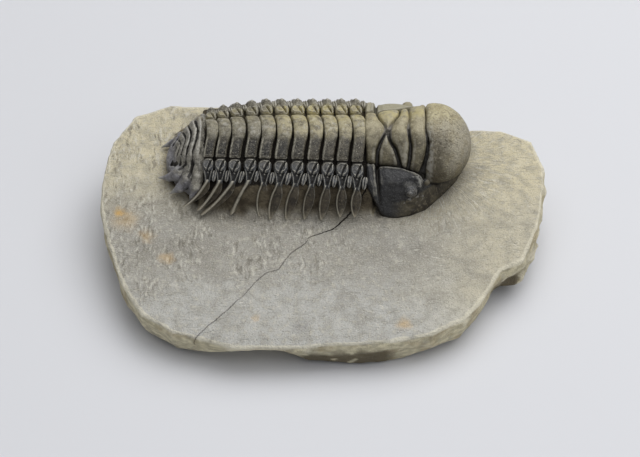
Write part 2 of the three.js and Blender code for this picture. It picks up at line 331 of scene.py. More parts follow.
# The outline and the underside are laid out on the ground, the upper face on the sea floor.
GROUND_LOW, GROUND_HIGH = (-60.0, -41.0), (60, 41)
UNDERCUT_END, UNDERCUT_START = -17, -4
RESTING_FACE = -0.05
grid_x, grid_y = (slice(a, b, SLAB_CELL) for a, b in zip(GROUND_LOW, GROUND_HIGH))
ground = np.mgrid[grid_x, grid_y].astype(np.float32)
ground_points = np.stack([*ground, 0 * ground[0]], -1)
rim, (inset, lift) = within_outline(*ground, SLAB_CORNERS)
rim = rim + 0.2 * lumps(ground_points, 6, 4) + 0.1 * lumps(ground_points, 1.9, 5)
foot = rim + inset
under = lift * smoothstep(foot, UNDERCUT_END, UNDERCUT_START) + RESTING_FACE
under += 0.5 * np.clip(lumps(ground_points, 6, 7) + 0.2, 0, 1) * smoothstep(foot, -9, -2)

SLAB_LOW, SLAB_HIGH = (-59.0, -60.0, -21.5), (59.0, 23.0, 13.5)
x, y, z = block(SLAB_LOW, SLAB_HIGH, SLAB_CELL)
ground_x, ground_y, ground_z = (
    x + BEDDING_ORIGIN[0] + 0 * (y + z), COS * y - SIN * z + BEDDING_ORIGIN[1] + 0 * x,
    SIN * y + COS * z + BEDDING_ORIGIN[2] + 0 * x,
)
rim_here, inset_here, lift_here, under_here = (
    look_up(table, GROUND_LOW, SLAB_CELL, ground_x, ground_y) for table in (rim, inset, lift, under)
)
flat = np.stack(np.broadcast_arrays(x[:, :, 0], y[:, :, 0], np.float32(0)), -1)
level = 0.16 * lumps(flat, 7, 1) + 0.09 * lumps(flat, 2.4, 2) + 0.05 * lumps(flat, 1.1, 3)
# The scraped floor is hollow by this much in front of the fossil, and bevelled at its edge.
HOLLOW, BEVEL = 0.7, 0.1
level -= HOLLOW * np.exp(-((flat[..., 0] + 4) / 34)**2 - ((flat[..., 1] + 29) / 11)**2)
level = level[..., None] - BEVEL * smoothstep(rim_here, -1, 0)**2

# The wall leans in from the upper edge to the foot, and bellies out half way down.
BELLY, WALL_STEEPNESS = 0.8, 0.93
# The stone breaks in flakes this much wider than they are high.
FLAKE_WIDTH = 2.2
share = np.clip((slab_top(ground_y) - ground_z) / (slab_top(ground_y) - lift_here), 0, 1.3)
solid = np.stack([ground_x, ground_y, ground_z * FLAKE_WIDTH], -1)
wall = rim_here + inset_here * share**1.5 - BELLY * np.sin(np.clip(share, 0, 1) * math.pi)
wall = wall + 0.3 * lumps(solid, 9, 6) + 0.12 * lumps(solid, 2.4, 8)
at_wall = np.abs(wall) < 5
chips = np.zeros_like(wall)
# Shell-shaped flakes came away and left hollows that meet in sharp edges, most at the right.
chips[at_wall] = 0.6 - pits(solid[at_wall], 11, 71)**2 - 0.5 * pits(solid[at_wall], 5, 72)**2
rugged = 1 + 1.9 * smoothstep(ground_x, 38, 42) * smoothstep(-ground_y, -8, 2)
wall = wall + rugged * chips * smoothstep(share, 0.02, 0.3)
stone = soft_max(z - level, wall * WALL_STEEPNESS, 0.2)

# The mound fills the body's section to just under the shell, and the head and tail likewise.
SHELL_BED, HEAD_BED, TAIL_BED = 0.32, 1.6, 2.5
side = np.abs(y)
narrow = 1 - 0.2 * smoothstep(-x, 16, 31)
trough = SHELL_BED + 1.3 * (1 - smoothstep(side, 10, 14))
body = flank_height(y / (1 + (narrow - 1) * np.clip(side / 18, 0, 1))) - trough
slope = 1 / np.sqrt(1 + (0.12 * side)**2)
body = soft_max((z - body) * slope, np.maximum(x - 12, -31.6 - x), 0.8)
margin, _ = within_outline(flat[..., 0], flat[..., 1], mirrored(HEAD_MARGIN))
margin = margin[..., None]
under_head = (z - cheek_height(x, side, margin) + HEAD_BED) * slope
under_head = soft_max(under_head, margin + 2.4, 0.6)
tail_edge = np.maximum(-39.6 - x, side - np.interp(x, [-40, -36, -32], [3.6, 9, 12.4]))
tail_edge = np.maximum(tail_edge, x + 31)
under_tail = soft_max((z - tail_height(x, side) + TAIL_BED) * slope, tail_edge, 0.8)
mound = np.maximum(np.minimum(np.minimum(body, under_head), under_tail), rim_here + 3)
stone = soft_min(stone, mound, 2.2)
# A crumb of rock behind the cheek, and two that stick out of the right edge.
for nub, reach in (
    ((11.4, -13.6, 0.6), (1.7, 2.4, 2.6)), ((55.4, -7.5, -1.8), (1.5, 2.2, 1.3)),
    ((52.2, -20.4, -2.2), (1.6, 1.8, 1.5)),
):
    off = sum(((g - c) / r)**2 for g, c, r in zip((x, y, z), nub, reach))
    stone = soft_min(stone, (np.sqrt(off) - 1) * 1.8, 0.8)
stone = soft_max(stone, (under_here - ground_z), 0.6)

slab_points, slab_faces = skin(stone, SLAB_LOW, SLAB_CELL)
away = outward(slab_points, slab_faces)
at = slab_points
slab_side = np.abs(at[:, 1])

# Brown dirt and painted shade lie on the rock under the shell, deepest between the blades.
under_shell = np.maximum(-41 - at[:, 0], at[:, 0] - 15)
narrowing = np.interp(-at[:, 0], [-15, 20, 31, 33, 41], [0, 0, 2.2, 4, 13.5])
under_shell = np.maximum(under_shell, slab_side - 18.4 + narrowing)
margin_here = look_up(margin[..., 0], SLAB_LOW[:2], SLAB_CELL, at[:, 0], at[:, 1])
under_shell = np.minimum(under_shell, margin_here)
ragged = under_shell + 0.7 * lumps(at, 2.4, 12)
stain = 0.66 * (1 - smoothstep(ragged, -3.4, 1.6))
# Under the middle of the body the rock is painted black, as dirt and painted shade, most on the
# right side.
deep = 1 - 0.7 * smoothstep(at[:, 1], 1, 5)
deep = deep * (1 - smoothstep(slab_side + 0.5 * lumps(at, 1.5, 17), 12.9, 13.9))
deep = deep * smoothstep(-ragged, 0.5, 2)
stain = np.maximum(stain, deep)
bare = np.exp(-((at[:, 0] - 11.6) / 1.5)**2 - ((at[:, 1] + 14.6) / 2)**2)
stain *= 1 - bare * (1 - smoothstep(at[:, 2], 0.8, 2))
# All round the fossil the rock is darkened a little more, partly dirt and partly painted shade.
stain = np.maximum(stain, 0.26 * np.exp(-np.clip(under_shell, 0, 99) / 2.2))
stain *= smoothstep(at[:, 2], -2, -0.8)

# The crack is cut a little into the floor, and marked by the distance off it to either side.
CRACK_CUT, NO_CRACK = 0.3, 9
crack_x = at[:, 0] + 0.25 * lumps(at, 1.4, 13)
cracks, (crack_depth,) = along_line(crack_x, at[:, 1], CRACK)
crack_mark = crack_depth * ridge(cracks, 0.45) * (at[:, 2] > -3)
crack_line = smooth_line(CRACK, steps=4)
ahead = np.interp(at[:, 0], crack_line[:, 0], crack_line[:, 1])
crack_side = np.where(at[:, 1] > ahead, cracks, -cracks) / (0.24 + 0.3 * crack_depth)
crack_side = np.where(at[:, 2] > -3, crack_side, NO_CRACK)

# Freshly broken, darker scars lie low on the front and at the notch on the right.
upper = smoothstep(away[:, 2], 0.35, 0.65)
low_front = smoothstep(lumps(at, 5, 14) + 0.5 * lumps(at, 1.8, 15), -0.5, -0.1)
slab_points = from_bedding(slab_points)
low = 1 - smoothstep(slab_points[:, 2] + 1.2 * lumps(at, 4, 16), 4.4, 7)
gx, gy, gz = slab_points.T
front_scar = smoothstep(gx, -8, -4) * (1 - smoothstep(gx, 14, 19)) * (gy < -30) * low
right_scar = smoothstep(gx, 40, 42) * (1 - smoothstep(gx, 47, 50)) * (gy < -8)
right_scar *= 1 - smoothstep(gz, 7, 9)
scars = np.maximum(front_scar, right_scar) * smoothstep(low_front, 0, 0.3)
broken = (1 - upper) * np.clip(0.9 * scars, 0, 1)
cut_in = (from_bedding(away) - BEDDING_ORIGIN) * (CRACK_CUT * crack_mark)[:, None]
slab_points = slab_points - cut_in
slab_points[:, 2] = np.maximum(slab_points[:, 2], 0)
slab = make_piece(
    "limestone_slab", slab_points, slab_faces, stain=stain, crack=crack_side, broken=broken,
    worn=hollowness(slab_points, slab_faces, 8), wall=1 - upper,
)


class Step:
    """A value inside a node tree. Sums done on it lay further steps in the same tree."""

    def __init__(self, tree, socket):
        self.tree, self.socket = tree, socket

    def math(self, operation, *others):
        given = {f"i{k}": value for k, value in enumerate((self, *others))}
        return lay(self.tree, "ShaderNodeMath", {"operation": operation}, **given)

    def __add__(self, other):
        return self.math("ADD", other)

    def __radd__(self, other):
        return lay(self.tree, "ShaderNodeMath", {"operation": "ADD"}, i0=other, i1=self)

    def __sub__(self, other):
        return self.math("SUBTRACT", other)

    def __rsub__(self, other):
        return lay(self.tree, "ShaderNodeMath", {"operation": "SUBTRACT"}, i0=other, i1=self)

    def __mul__(self, other):
        return self.math("MULTIPLY", other)

    def __abs__(self):
        return self.math("ABSOLUTE")

    def between(self, low, high, to_low=0.0, to_high=1.0, ease="SMOOTHSTEP"):
        """Goes from one value to another as this one goes from low to high."""
        return lay(
            self.tree, "ShaderNodeMapRange", {"interpolation_type": ease}, Value=self,
            From_Min=low, From_Max=high, To_Min=to_low, To_Max=to_high,
        )

    def parts(self):
        """The three parts of a place or a direction: forwards, to the left and up."""
        split = self.tree.nodes.new("ShaderNodeSeparateXYZ")
        self.tree.links.new(self.socket, split.inputs[0])
        return [Step(self.tree, part) for part in split.outputs]


def lay(tree, kind, settings=None, out=0, **inputs):
    """Adds one step to a build or a finish, joined to what feeds it, and gives its result."""
    node = tree.nodes.new(kind)
    for name, value in (settings or {}).items():
        setattr(node, name, value)
    for name, value in inputs.items():
        by_number = name[0] == "i" and name[1:].isdigit()
        socket = node.inputs[int(name[1:]) if by_number else name.replace("_", " ")]
        if isinstance(value, Step):
            tree.links.new(value.socket, socket)
        else:
            socket.default_value = value
    return Step(tree, node.outputs[out])


def tint(colour):
    """A colour given in steps of 255, as the shader wants it."""
    return tuple(((c / 255 + 0.055) / 1.055)**2.4 for c in colour) + (1,)


def blend(share, under, over):
    """One colour laid over another by the given share."""
    under, over = (tint(c) if isinstance(c, tuple) else c for c in (under, over))
    return lay(
        share.tree, "ShaderNodeMix", {"data_type": "RGBA"}, out=2, i0=share, i6=under, i7=over,
    )


def bump(height, depth, under=None):
    """A fine relief of the given depth in mm, laid over an earlier one."""
    extra = {"Normal": under} if under else {}
    return lay(
        height.tree, "ShaderNodeBump", Height=height, Distance=depth * MM, Strength=1.0, **extra,
    )


class Finish:
    """A finish being made up, on places measured in mm from the old sea floor."""

    def __init__(self, name):
        self.material = bpy.data.materials.new(name)
        self.material.use_nodes = True
        self.tree = self.material.node_tree
        self.place = lay(
            self.tree, "ShaderNodeMapping", {"vector_type": "TEXTURE"},
            Vector=lay(self.tree, "ShaderNodeTexCoord", out=3),
            Location=BEDDING_ORIGIN * MM, Rotation=(BEDDING_TILT, 0, 0), Scale=(MM, MM, MM),
        )
        self.fore, self.aside, self.above = self.place.parts()

    def mark(self, name):
        return lay(self.tree, "ShaderNodeAttribute", {"attribute_name": name}, out=2)

    def grain(self, size, detail=2.0, stretch=None, place=None):
        """Noise of a given size in mm, from 0 to 1, drawn out along the axes as asked."""
        place = place or self.place
        if stretch:
            scale = tuple(1 / v for v in stretch)
            place = lay(self.tree, "ShaderNodeMapping", Vector=place, Scale=scale)
        return lay(self.tree, "ShaderNodeTexNoise", Vector=place, Scale=1 / size, Detail=detail)

    def cells(self, size):
        """Distance from the middle of the nearest of many small cells, in shares of a cell."""
        return lay(self.tree, "ShaderNodeTexVoronoi", Vector=self.place, Scale=1 / size)

    def flecked(self, colour, size, detail, low, high, strength, tone):
        """The colour with flecks of another tone, where noise goes from low to high."""
        return blend(self.grain(size, detail).between(low, high, 0, strength), colour, tone)

    def settle(self, colour, relief, roughness, gloss):
        """Puts colour and relief on the shader, and gives the finished material."""
        shader = self.tree.nodes["Principled BSDF"]
        self.tree.links.new(colour.socket, shader.inputs["Base Color"])
        self.tree.links.new(relief.socket, shader.inputs["Normal"])
        shader.inputs["Roughness"].default_value = roughness
        shader.inputs["Specular IOR Level"].default_value = gloss
        return self.material


rock = Finish("limestone")
cloudy = (rock.grain(16, 3) - 0.5) * 26
back = (rock.aside + cloudy).between(-24, 6)
right = (rock.fore + cloudy).between(16, 48)
front = (rock.aside + cloudy).between(-30, -46)
colour = blend(front, (156, 153, 145), (176, 175, 170))
colour = blend(right * 0.6, colour, (204, 195, 168))
colour = blend(back * 0.85, colour, (204, 194, 164))
mottle = rock.grain(2.6, 4)
colour = blend(mottle.between(0.42, 0.66, 0, 0.45), colour, (140, 136, 125))
colour = rock.flecked(colour, 1.3, 4, 0.52, 0.7, 0.4, (202, 197, 182))
colour = rock.flecked(colour, 11, 4, 0.52, 0.62, 0.35, (130, 126, 117))
swerve = lay(rock.tree, "ShaderNodeTexNoise", out=1, Vector=rock.place, Scale=1 / 5, Detail=2)
swerve = lay(rock.tree, "ShaderNodeVectorMath", {"operation": "SCALE"}, i0=swerve, Scale=2.2)
drawn = lay(rock.tree, "ShaderNodeVectorMath", {"operation": "ADD"}, i0=rock.place, i1=swerve)
strokes = rock.grain(0.55, 3, (5, 0.8, 1), drawn).between(0.57, 0.72)
strokes = strokes * rock.grain(9, 2).between(0.38, 0.5)

# Strokes of the scriber run away from the head all round it.
from_head = rock.fore - 28
far_off = (from_head.math("POWER", 2) + rock.aside.math("POWER", 2)).math("SQRT")
turn = rock.aside.math("ARCTAN2", from_head)
spokes = lay(rock.tree, "ShaderNodeCombineXYZ", X=turn * 46, Y=far_off * 0.3, Z=0.5)
spokes = lay(rock.tree, "ShaderNodeTexNoise", Vector=spokes, Scale=1, Detail=3)
near_head = (far_off + cloudy * 0.3).between(26, 15) * rock.fore.between(12, 22)
shadowed = spokes.between(0.48, 0.34) * near_head
scribed = strokes.math("MAXIMUM", spokes.between(0.5, 0.66) * near_head)
colour = blend(shadowed * 0.45, colour, (146, 138, 116))
colour = blend(scribed * 0.5, colour, (218, 214, 202))

# Short cuts of the chisel lie across the left part, each with a painted highlight on one side and
# painted shade on the other.
cuts = rock.grain(0.8, 3, (1, 3.2, 1), drawn)
cut_here = rock.grain(6, 2).between(0.44, 0.56) * (rock.fore + cloudy).between(14, -8)
cut_here = cut_here * (rock.aside + cloudy).between(-44, -32)
colour = blend(cuts.between(0.54, 0.64) * (cut_here * 0.6), colour, (204, 200, 188))
colour = blend(cuts.between(0.46, 0.36) * (cut_here * 0.6), colour, (110, 105, 94))
specks = rock.grain(0.4, 3)
colour = blend(specks.between(0.54, 0.7, 0, 0.5), colour, (126, 121, 108))
colour = rock.flecked(colour, 0.33, 3, 0.54, 0.7, 0.5, (208, 204, 192))

# The broken sides are warmer and coarser than the scraped top, and painted paler still as painted
# light for the light their faces lack, with paler chipped edges.
layers = rock.grain(1.1, 4, (2, 2, 0.8)).between(0.4, 0.62)
warm_sides_with_painted_light = blend(layers, (186, 178, 150), (216, 208, 178))
warm_sides_with_painted_light = rock.flecked(warm_sides_with_painted_light, 6, 3, 0.5, 0.62, 0.35, (150, 126, 84))
warm_sides_with_painted_light = rock.flecked(warm_sides_with_painted_light, 3.4, 4, 0.5, 0.66, 0.4, (112, 108, 98))
colour = blend(rock.mark("wall") * 0.9, colour, warm_sides_with_painted_light)
chipped = rock.mark("worn") + (mottle - 0.5) * 0.12
colour = blend(chipped.between(-0.13, -0.24, 0, 0.6), colour, (216, 210, 190))
colour = blend(rock.mark("broken"), colour, blend(mottle, (58, 51, 38), (108, 98, 78)))
# Under and around the shell the rock is painted brown, and black where the mark is deepest: dirt
# and painted shade.
brown = blend(mottle.between(0.35, 0.65), (58, 51, 40), (88, 80, 65))
colour = blend(rock.mark("stain").between(0, 0.6), colour, brown)
colour = blend(rock.mark("stain").between(0.75, 1), colour, (26, 22, 17))
crack_gap = abs(rock.mark("crack") + (rock.grain(0.7, 3) - 0.5) * 1.1)
cracked = crack_gap.between(0.5, 0.12) * (rock.fore + cloudy).between(-14, 2, 0.4, 1)
colour = blend(cracked, colour, (24, 21, 17))

# Spots of rust and of dark grey: x, y, reach, strength, how ragged, and their colour.
RUST, DARK_GREY = (196, 158, 92), (112, 108, 104)
for spot_x, spot_y, reach, strength, ragged, tone in (
    (-51.6, -15.6, 2.2, 0.8, 5, RUST), (-44, -22.9, 3, 0.35, 5, RUST),
    (-38.9, -29.7, 2.6, 0.35, 5, RUST), (-16.5, -47.6, 1.5, 0.4, 5, RUST),
    (18.8, -49.3, 2.6, 0.5, 5, RUST), (-50, -18, 5, 0.3, 5, RUST),
    (-5.7, -50.7, 3.4, 0.35, 6, DARK_GREY), (9.6, -47.6, 0.9, 0.6, 6, DARK_GREY),
    (6.1, -56.9, 1.6, 0.5, 6, DARK_GREY),
):
    off = lay(
        rock.tree, "ShaderNodeVectorMath", {"operation": "DISTANCE"}, out=1,
        i0=rock.place, i1=(spot_x, spot_y, 0),
    )
    off = off + (mottle - 0.5) * ragged
    colour = blend(off.between(reach, 0, 0, strength), colour, tone)
rough = scribed * -0.5 + (specks + mottle)
rough = rough + cuts * (0.6 + cut_here)
relief = bump(1 - cracked, 0.5, bump(rough, 0.36))
slab.data.materials.append(rock.settle(colour, relief, roughness=0.92, gloss=0.25))
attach(slab, "root")
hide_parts("matrix")


# ---- The middle of the head shield ----
# The swollen front lobe, three pairs of side lobes behind it, the ring at the back of the head
# and the fixed cheeks, all one plate of olive shell parted by deep furrows.

HEAD_CELL = 0.2

# Half the width of the middle lobes, their height at the midline and their fall to the side.
LOBES = [
    (9.8, 7.8, 14.1, 3.3), (13, 8.2, 14.3, 3.4), (16, 8.7, 14.3, 3.3), (18.8, 9, 14.6, 3.5),
    (21.2, 9.8, 14.8, 4), (23.8, 10.6, 15, 4.6), (26, 11, 15, 4.9),
]
# Furrows between them, from the right side to the left: x, y, depth and half-width.
HEAD_FURROWS = [
    [(13.1, -8.6, 1.6, 0.42), (13.2, -6, 1.7, 0.42), (13.9, -3.9, 1.5, 0.38),
     (14.9, -1.9, 0.9, 0.35), (15.6, -0.5, 0.5, 0.4), (15.1, 1.5, 0.7, 0.3),
     (13.9, 3.6, 0.8, 0.3), (13.4, 6.2, 0.9, 0.3), (13.5, 9, 1, 0.3)],
    [(18.9, -9.3, 1.9, 0.42), (18.3, -7.4, 1.9, 0.42), (17.6, -5.5, 1.8, 0.42),
     (16.7, -4, 1.3, 0.4), (16.2, -2.6, 0.6, 0.5), (16.1, -0.6, 0.45, 0.6),
     (16.6, 0.9, 0.5, 0.4), (17.6, 2.7, 0.8, 0.3), (18.9, 5, 0.9, 0.28), (19.3, 8, 0.9, 0.28),
     (19.3, 9.3, 0.9, 0.28)],
    [(20.6, -10.4, 1.9, 0.42), (21.2, -8, 1.9, 0.42), (21.5, -5, 1.7, 0.38),
     (21.2, -2.4, 1.0, 0.32), (21.1, 0.5, 0.55, 0.3), (21.5, 4, 0.6, 0.28), (21.5, 8, 0.7, 0.28),
     (21.6, 10.6, 0.8, 0.28)],
]
# The one behind the swollen lobe: y, x and half-width.
GULF = [
    (-12, 23.6, 0.4), (-10, 24.4, 0.45), (-9, 24.9, 0.45), (-8, 25.3, 0.45), (-5, 25.8, 0.4),
    (-2, 25.45, 0.25), (0, 25.35, 0.15), (5, 25.6, 0.12), (12, 25.6, 0.12),
]
BULB = {"x": 28, "z": 8.2, "front": 9.2, "side": 11.1, "up": 7.8, "down": 7.4}
# The suture in plan, outside which the free cheeks lie.
FREE_CHEEK = [
    (18.6, 20), (19.2, 16.4), (19.6, 14.6), (19.7, 12.8), (21, 11.9), (24.6, 11.3), (26.4, 9.4),
    (28.5, 6), (31, 0.6), (38, 0.6), (38, 20),
]
EYE, EYE_RADIUS, EYE_RING = (21.6, 14.1, 6.3), 1.5, 1.75
BORDER_FURROW = [
    (13.05, 8.6, 1.5, 0.45), (13.25, 12.6, 1.4, 0.45), (13.9, 15.8, 0.9, 0.4),
    (14.6, 16.8, 0.2, 0.3),
]
BACK_RIDGES = [
    [(10.75, 8.6), (11.35, 12.6), (12.5, 15.8), (13.3, 16.8)],
    [(12.1, 8.6), (12.45, 12.6), (13.1, 15.4), (14, 16.8)],
]
CHEEK_THICKNESS = 2.4
# Edges are worn pale where they stand above the level of the shell this far around.
WORN_REACH = 1.1


def furrow(x, y, line):
    """How deep a furrow lies at each point, and how far off it is."""
    gap, (depth, half) = along_line(x, y, line)
    return depth * (1 - smoothstep(gap, 0.25 * half, 1.5 * half)), gap


def blurred(table, reach):
    """A flat table averaged over a square reaching that many cells each way."""
    for axis in (0, 1):
        ends = [(reach + 1, reach) if k == axis else (0, 0) for k in (0, 1)]
        total = np.moveaxis(np.cumsum(np.pad(table, ends, "edge"), axis), axis, 0)
        ahead, behind = total[2 * reach + 1:], total[:-2 * reach - 1]
        table = np.moveaxis((ahead - behind) / (2 * reach + 1), 0, axis)
    return table


HEAD_LOW, HEAD_HIGH = (9.0, -18.8, -1.5), (37.8, 18.8, 17.6)
x, y, z = block(HEAD_LOW, HEAD_HIGH, HEAD_CELL)
px, py = np.broadcast_arrays(x[:, :, 0], y[:, :, 0])
side = np.abs(py)

# The middle: its plain dome first, then the furrows sunk in it with shoulders worn round.
RIGHT_SHOULDER, LEFT_SHOULDER, SHOULDER_REACH = 1.5, 0.9, 2
lobe_x, lobe_half, lobe_top, lobe_fall = smooth_line(LOBES).T
half = np.interp(px, lobe_x, lobe_half)
fall = np.interp(px, lobe_x, lobe_fall) * np.clip(side / half, 0, 1.1)**2.6
plain = np.interp(px, lobe_x, lobe_top) - fall
lobes = plain
nearest_furrow = np.full(px.shape, 9.0)
for line in HEAD_FURROWS:
    depth, gap = furrow(px, py, line)
    lobes = lobes - depth
    nearest_furrow = np.minimum(nearest_furrow, gap)
shoulder = LEFT_SHOULDER + (RIGHT_SHOULDER - LEFT_SHOULDER) * (py < 0)
lobes = lobes - shoulder * np.clip(1 - nearest_furrow / SHOULDER_REACH, 0, 1)**2 + 0.2
flat = np.stack([px, py, 0 * px], -1)
lobes = lobes + 0.12 * lumps(flat, 3.1, 21)
steep = 1 / np.sqrt(1 + (0.135 * side)**2)[..., None]
middle = soft_max((z - lobes[..., None]) * steep, (side - half)[..., None], 0.9)
gulf_y, gulf_x, gulf_half = smooth_line(GULF).T
gulf, gulf_width = np.interp(y, gulf_y, gulf_x), np.interp(y, gulf_y, gulf_half)
middle = soft_max(middle, x - gulf + gulf_width, 1.0)
back_of_head = 10.15 + 0.05 * np.abs(y)
middle = np.maximum(soft_max(middle, back_of_head - x, 0.7), (plain - 3.2)[..., None] - z)

# The swollen lobe is squarer than a ball, and stands on a core that carries the middle.
SQUARENESS = 2.4
up = np.where(z > BULB["z"], BULB["up"], BULB["down"])
section = np.abs(y / BULB["side"])**SQUARENESS + np.abs((z - BULB["z"]) / up)**SQUARENESS
bulb = (np.hypot((x - BULB["x"]) / BULB["front"], section**(1 / SQUARENESS)) - 1) * 9
bulb = soft_max(bulb, gulf + gulf_width - x, 1.3)
core = np.maximum((z - plain[..., None] + 1.9) * steep, (side - half + 0.6)[..., None])
core = np.maximum(core, np.abs(x - 19) - 8.4)

# The cheeks: the furrow beside the middle, the border furrow and the ridges at the back.
margin, _ = within_outline(px, py, mirrored(HEAD_MARGIN))
cheek = cheek_height(px, side, margin)
cheek_plain = cheek
axial = 1 - smoothstep(px, 24.6, 26.2)
cheek = cheek - 1.5 * axial * ridge(side - half - 0.1, 0.42)
cheek = cheek + 0.3 * axial * ridge(side - half - 0.95, 0.3)
border, _ = furrow(px, side, BORDER_FURROW)
cheek = cheek - border
for line in BACK_RIDGES:
    gap, _ = along_line(px, side, line)
    cheek = cheek + 0.4 * ridge(gap, 0.27)
cheek = cheek - 0.4 * ridge(margin + 2.1, 0.4) * smoothstep(px, 16, 18)
cheek = cheek + 0.1 * lumps(flat, 2.2, 22)
cheek_steep = 1 / np.sqrt(1 + (0.11 * np.clip(side - 8, 0, 9))**2 * 3)[..., None]
cheeks = soft_max((z - cheek[..., None]) * cheek_steep, margin[..., None], 0.7)
cheeks = np.maximum(cheeks, (cheek_plain - CHEEK_THICKNESS)[..., None] * np.ones_like(z) - z)
cheeks = np.maximum(cheeks, (half - side - 0.4)[..., None] - 12 * smoothstep(x, 25.5, 27))
nub = np.sqrt(((x - 25.4) / 0.9)**2 + ((np.abs(y) - 12.4) / 0.9)**2 + ((z - 7.9) / 0.8)**2) - 1
cheeks = soft_min(cheeks, nub, 0.3)
eye_gap = np.sqrt((x - EYE[0])**2 + (np.abs(y) - EYE[1])**2 + (z - EYE[2])**2)
pit = np.sqrt((x - EYE[0])**2 + (np.abs(y) - EYE[1] - 1)**2 + (z - EYE[2] - 1.2)**2)
rim_gap = np.hypot(px - EYE[0], side - EYE[1])
cheeks = cheeks + 0.35 * ridge(rim_gap - EYE_RING, 0.22)[..., None]
cheeks = soft_min(cheeks, soft_max(eye_gap - EYE_RADIUS, 0.5 - pit, 0.15), 0.25)
free, _ = within_outline(px, side, FREE_CHEEK)
free = free[..., None]

cranidium = np.minimum(np.minimum(middle, core), np.minimum(bulb, np.maximum(cheeks, -free)))
head_points, head_faces = skin(cranidium, HEAD_LOW, HEAD_CELL)


def plan_value(table, points):
    return look_up(table, HEAD_LOW[:2], HEAD_CELL, points[:, 0], points[:, 1])


def grained(points, faces, seed, rough, pitted):
    """The skin with its fine swells and its pits worked into it."""
    away = outward(points, faces)
    rise = rough * (lumps(points, 0.9, seed) + 0.7 * lumps(points, 0.45, seed + 1))
    rise -= pitted * ridge(pits(points, 1.3, seed + 2), 0.2)
    return points + away * rise[:, None]


# Marks for the finish: the swollen lobe, the cheeks, worn edges and how deep a point is sunk.
head_x, head_y, head_z = head_points.T
bulb_x, bulb_y, bulb_z = (head_points - (BULB["x"], 0, BULB["z"])).T
section = np.abs(bulb_y / BULB["side"])**SQUARENESS + np.abs(bulb_z / BULB["down"])**SQUARENESS
off_bulb = (np.hypot(bulb_x / BULB["front"], section**(1 / SQUARENESS)) - 1) * 9
in_bulb = 1 - smoothstep(off_bulb, 0.4, 0.9)
in_bulb = np.maximum(in_bulb, smoothstep(bulb_z, -1.5, 0)) * smoothstep(head_x, 25, 25.5)
beside = np.abs(head_y) - plan_value(half, head_points)
on_cheek = (1 - in_bulb) * smoothstep(beside, -0.2, 0.35)
lobe_relief, cheek_relief = (
    table - blurred(table, round(WORN_REACH / HEAD_CELL)) for table in (lobes, cheek)
)
plain_here = plan_value(plain, head_points)
level_here = np.where(on_cheek > 0.5, plan_value(cheek_plain, head_points), plain_here - 0.25)
head_sunk = np.clip(level_here - head_z, 0, 2) * (1 - in_bulb)
gulf_off = np.abs(head_x - np.interp(head_y, gulf_y, gulf_x))
half_here = np.interp(head_y, gulf_y, gulf_half)
in_gulf = (1 - smoothstep(gulf_off - half_here, 0.1, 0.5)) * smoothstep(half_here, 0.1, 0.4)
in_gulf *= smoothstep(plain_here - head_z, 0.1, 0.7)
head_sunk = np.maximum(head_sunk, 1.4 * in_gulf * smoothstep(head_z, 3, 5))
# The crescent under the swollen lobe counts as sunk too, so that it is painted black as a painted
# shadow.
under_bulb = (1 - smoothstep(np.abs(off_bulb - 0.1), 0.1, 0.5)) * (1 - smoothstep(head_z, 5, 7))
head_sunk = np.maximum(head_sunk, 1.2 * under_bulb * smoothstep(head_x, 24, 26))
head_worn = np.where(
    on_cheek > 0.5, plan_value(cheek_relief, head_points), plan_value(lobe_relief, head_points),
) * (1 - in_bulb)
head_points = grained(head_points, head_faces, 31, 0.035, 0.1)
head = make_piece(
    "head_middle", from_bedding(head_points), head_faces, worn=head_worn, sunk=head_sunk,
    bulb=in_bulb, cheek=on_cheek, band=plan_value(margin, head_points),
)


SHELL_GLOSS = 0.4
BLACK = (26, 23, 18)


def shell(finish, dark, mid, light, size):
    """Mottled shell: dark to light with fine grains, and the relief of those grains."""
    broad, fine = finish.grain(size * 5, 4), finish.grain(size, 3)
    colour = blend(broad.between(0.35, 0.6), dark, mid)
    colour = blend(fine.between(0.52, 0.7) * 0.55, colour, light)
    colour = blend(fine.between(0.42, 0.3) * 0.5, colour, dark)
    return colour, fine + finish.grain(size * 2.6, 2) * 0.8


def cheek_shell(finish):
    """Slate-grey shell with a browner border along the margin, its relief and the border."""
    slaty, height = shell(finish, (30, 30, 31), (50, 50, 51), (94, 94, 94), 0.3)
    banded, _ = shell(finish, (44, 39, 31), (80, 74, 60), (118, 110, 92), 0.7)
    band = finish.mark("band").between(-2.1, -1.6) * finish.fore.between(16, 21)
    return blend(band, slaty, banded), height, band


olive = Finish("olive_shell")
wave = (olive.grain(4, 3) - 0.5) * 5
lobe, height = shell(olive, (70, 64, 49), (98, 92, 73), (138, 131, 109), 0.42)
far, _ = shell(olive, (128, 120, 96), (158, 150, 124), (184, 177, 154), 0.42)
gold = olive.grain(2.2, 3).between(0.44, 0.6) * olive.aside.between(1, 5, 0, 0.5)
far = blend(gold, far, (182, 170, 116))
colour = blend((olive.aside + wave).between(-5, 1), lobe, far)

# The swollen lobe: painted pale above as painted light, dark where it turns under, partly painted
# shade and partly its own dark streaks, and spotted with pits.
swollen = blend((olive.above + wave).between(5.5, 12.5), (72, 65, 48), (142, 136, 119))
# Its upper and far face is painted paler still, as painted light.
lit_upper_face = (olive.above + olive.aside * 0.8) + wave
swollen = blend(lit_upper_face.between(13, 21), swollen, (178, 168, 132))
swollen = blend(olive.grain(2.4, 3).between(0.45, 0.62) * 0.4, swollen, (120, 108, 74))
streaks = olive.grain(0.8, 4, (1, 1, 4)).between(0.3, 0.52)
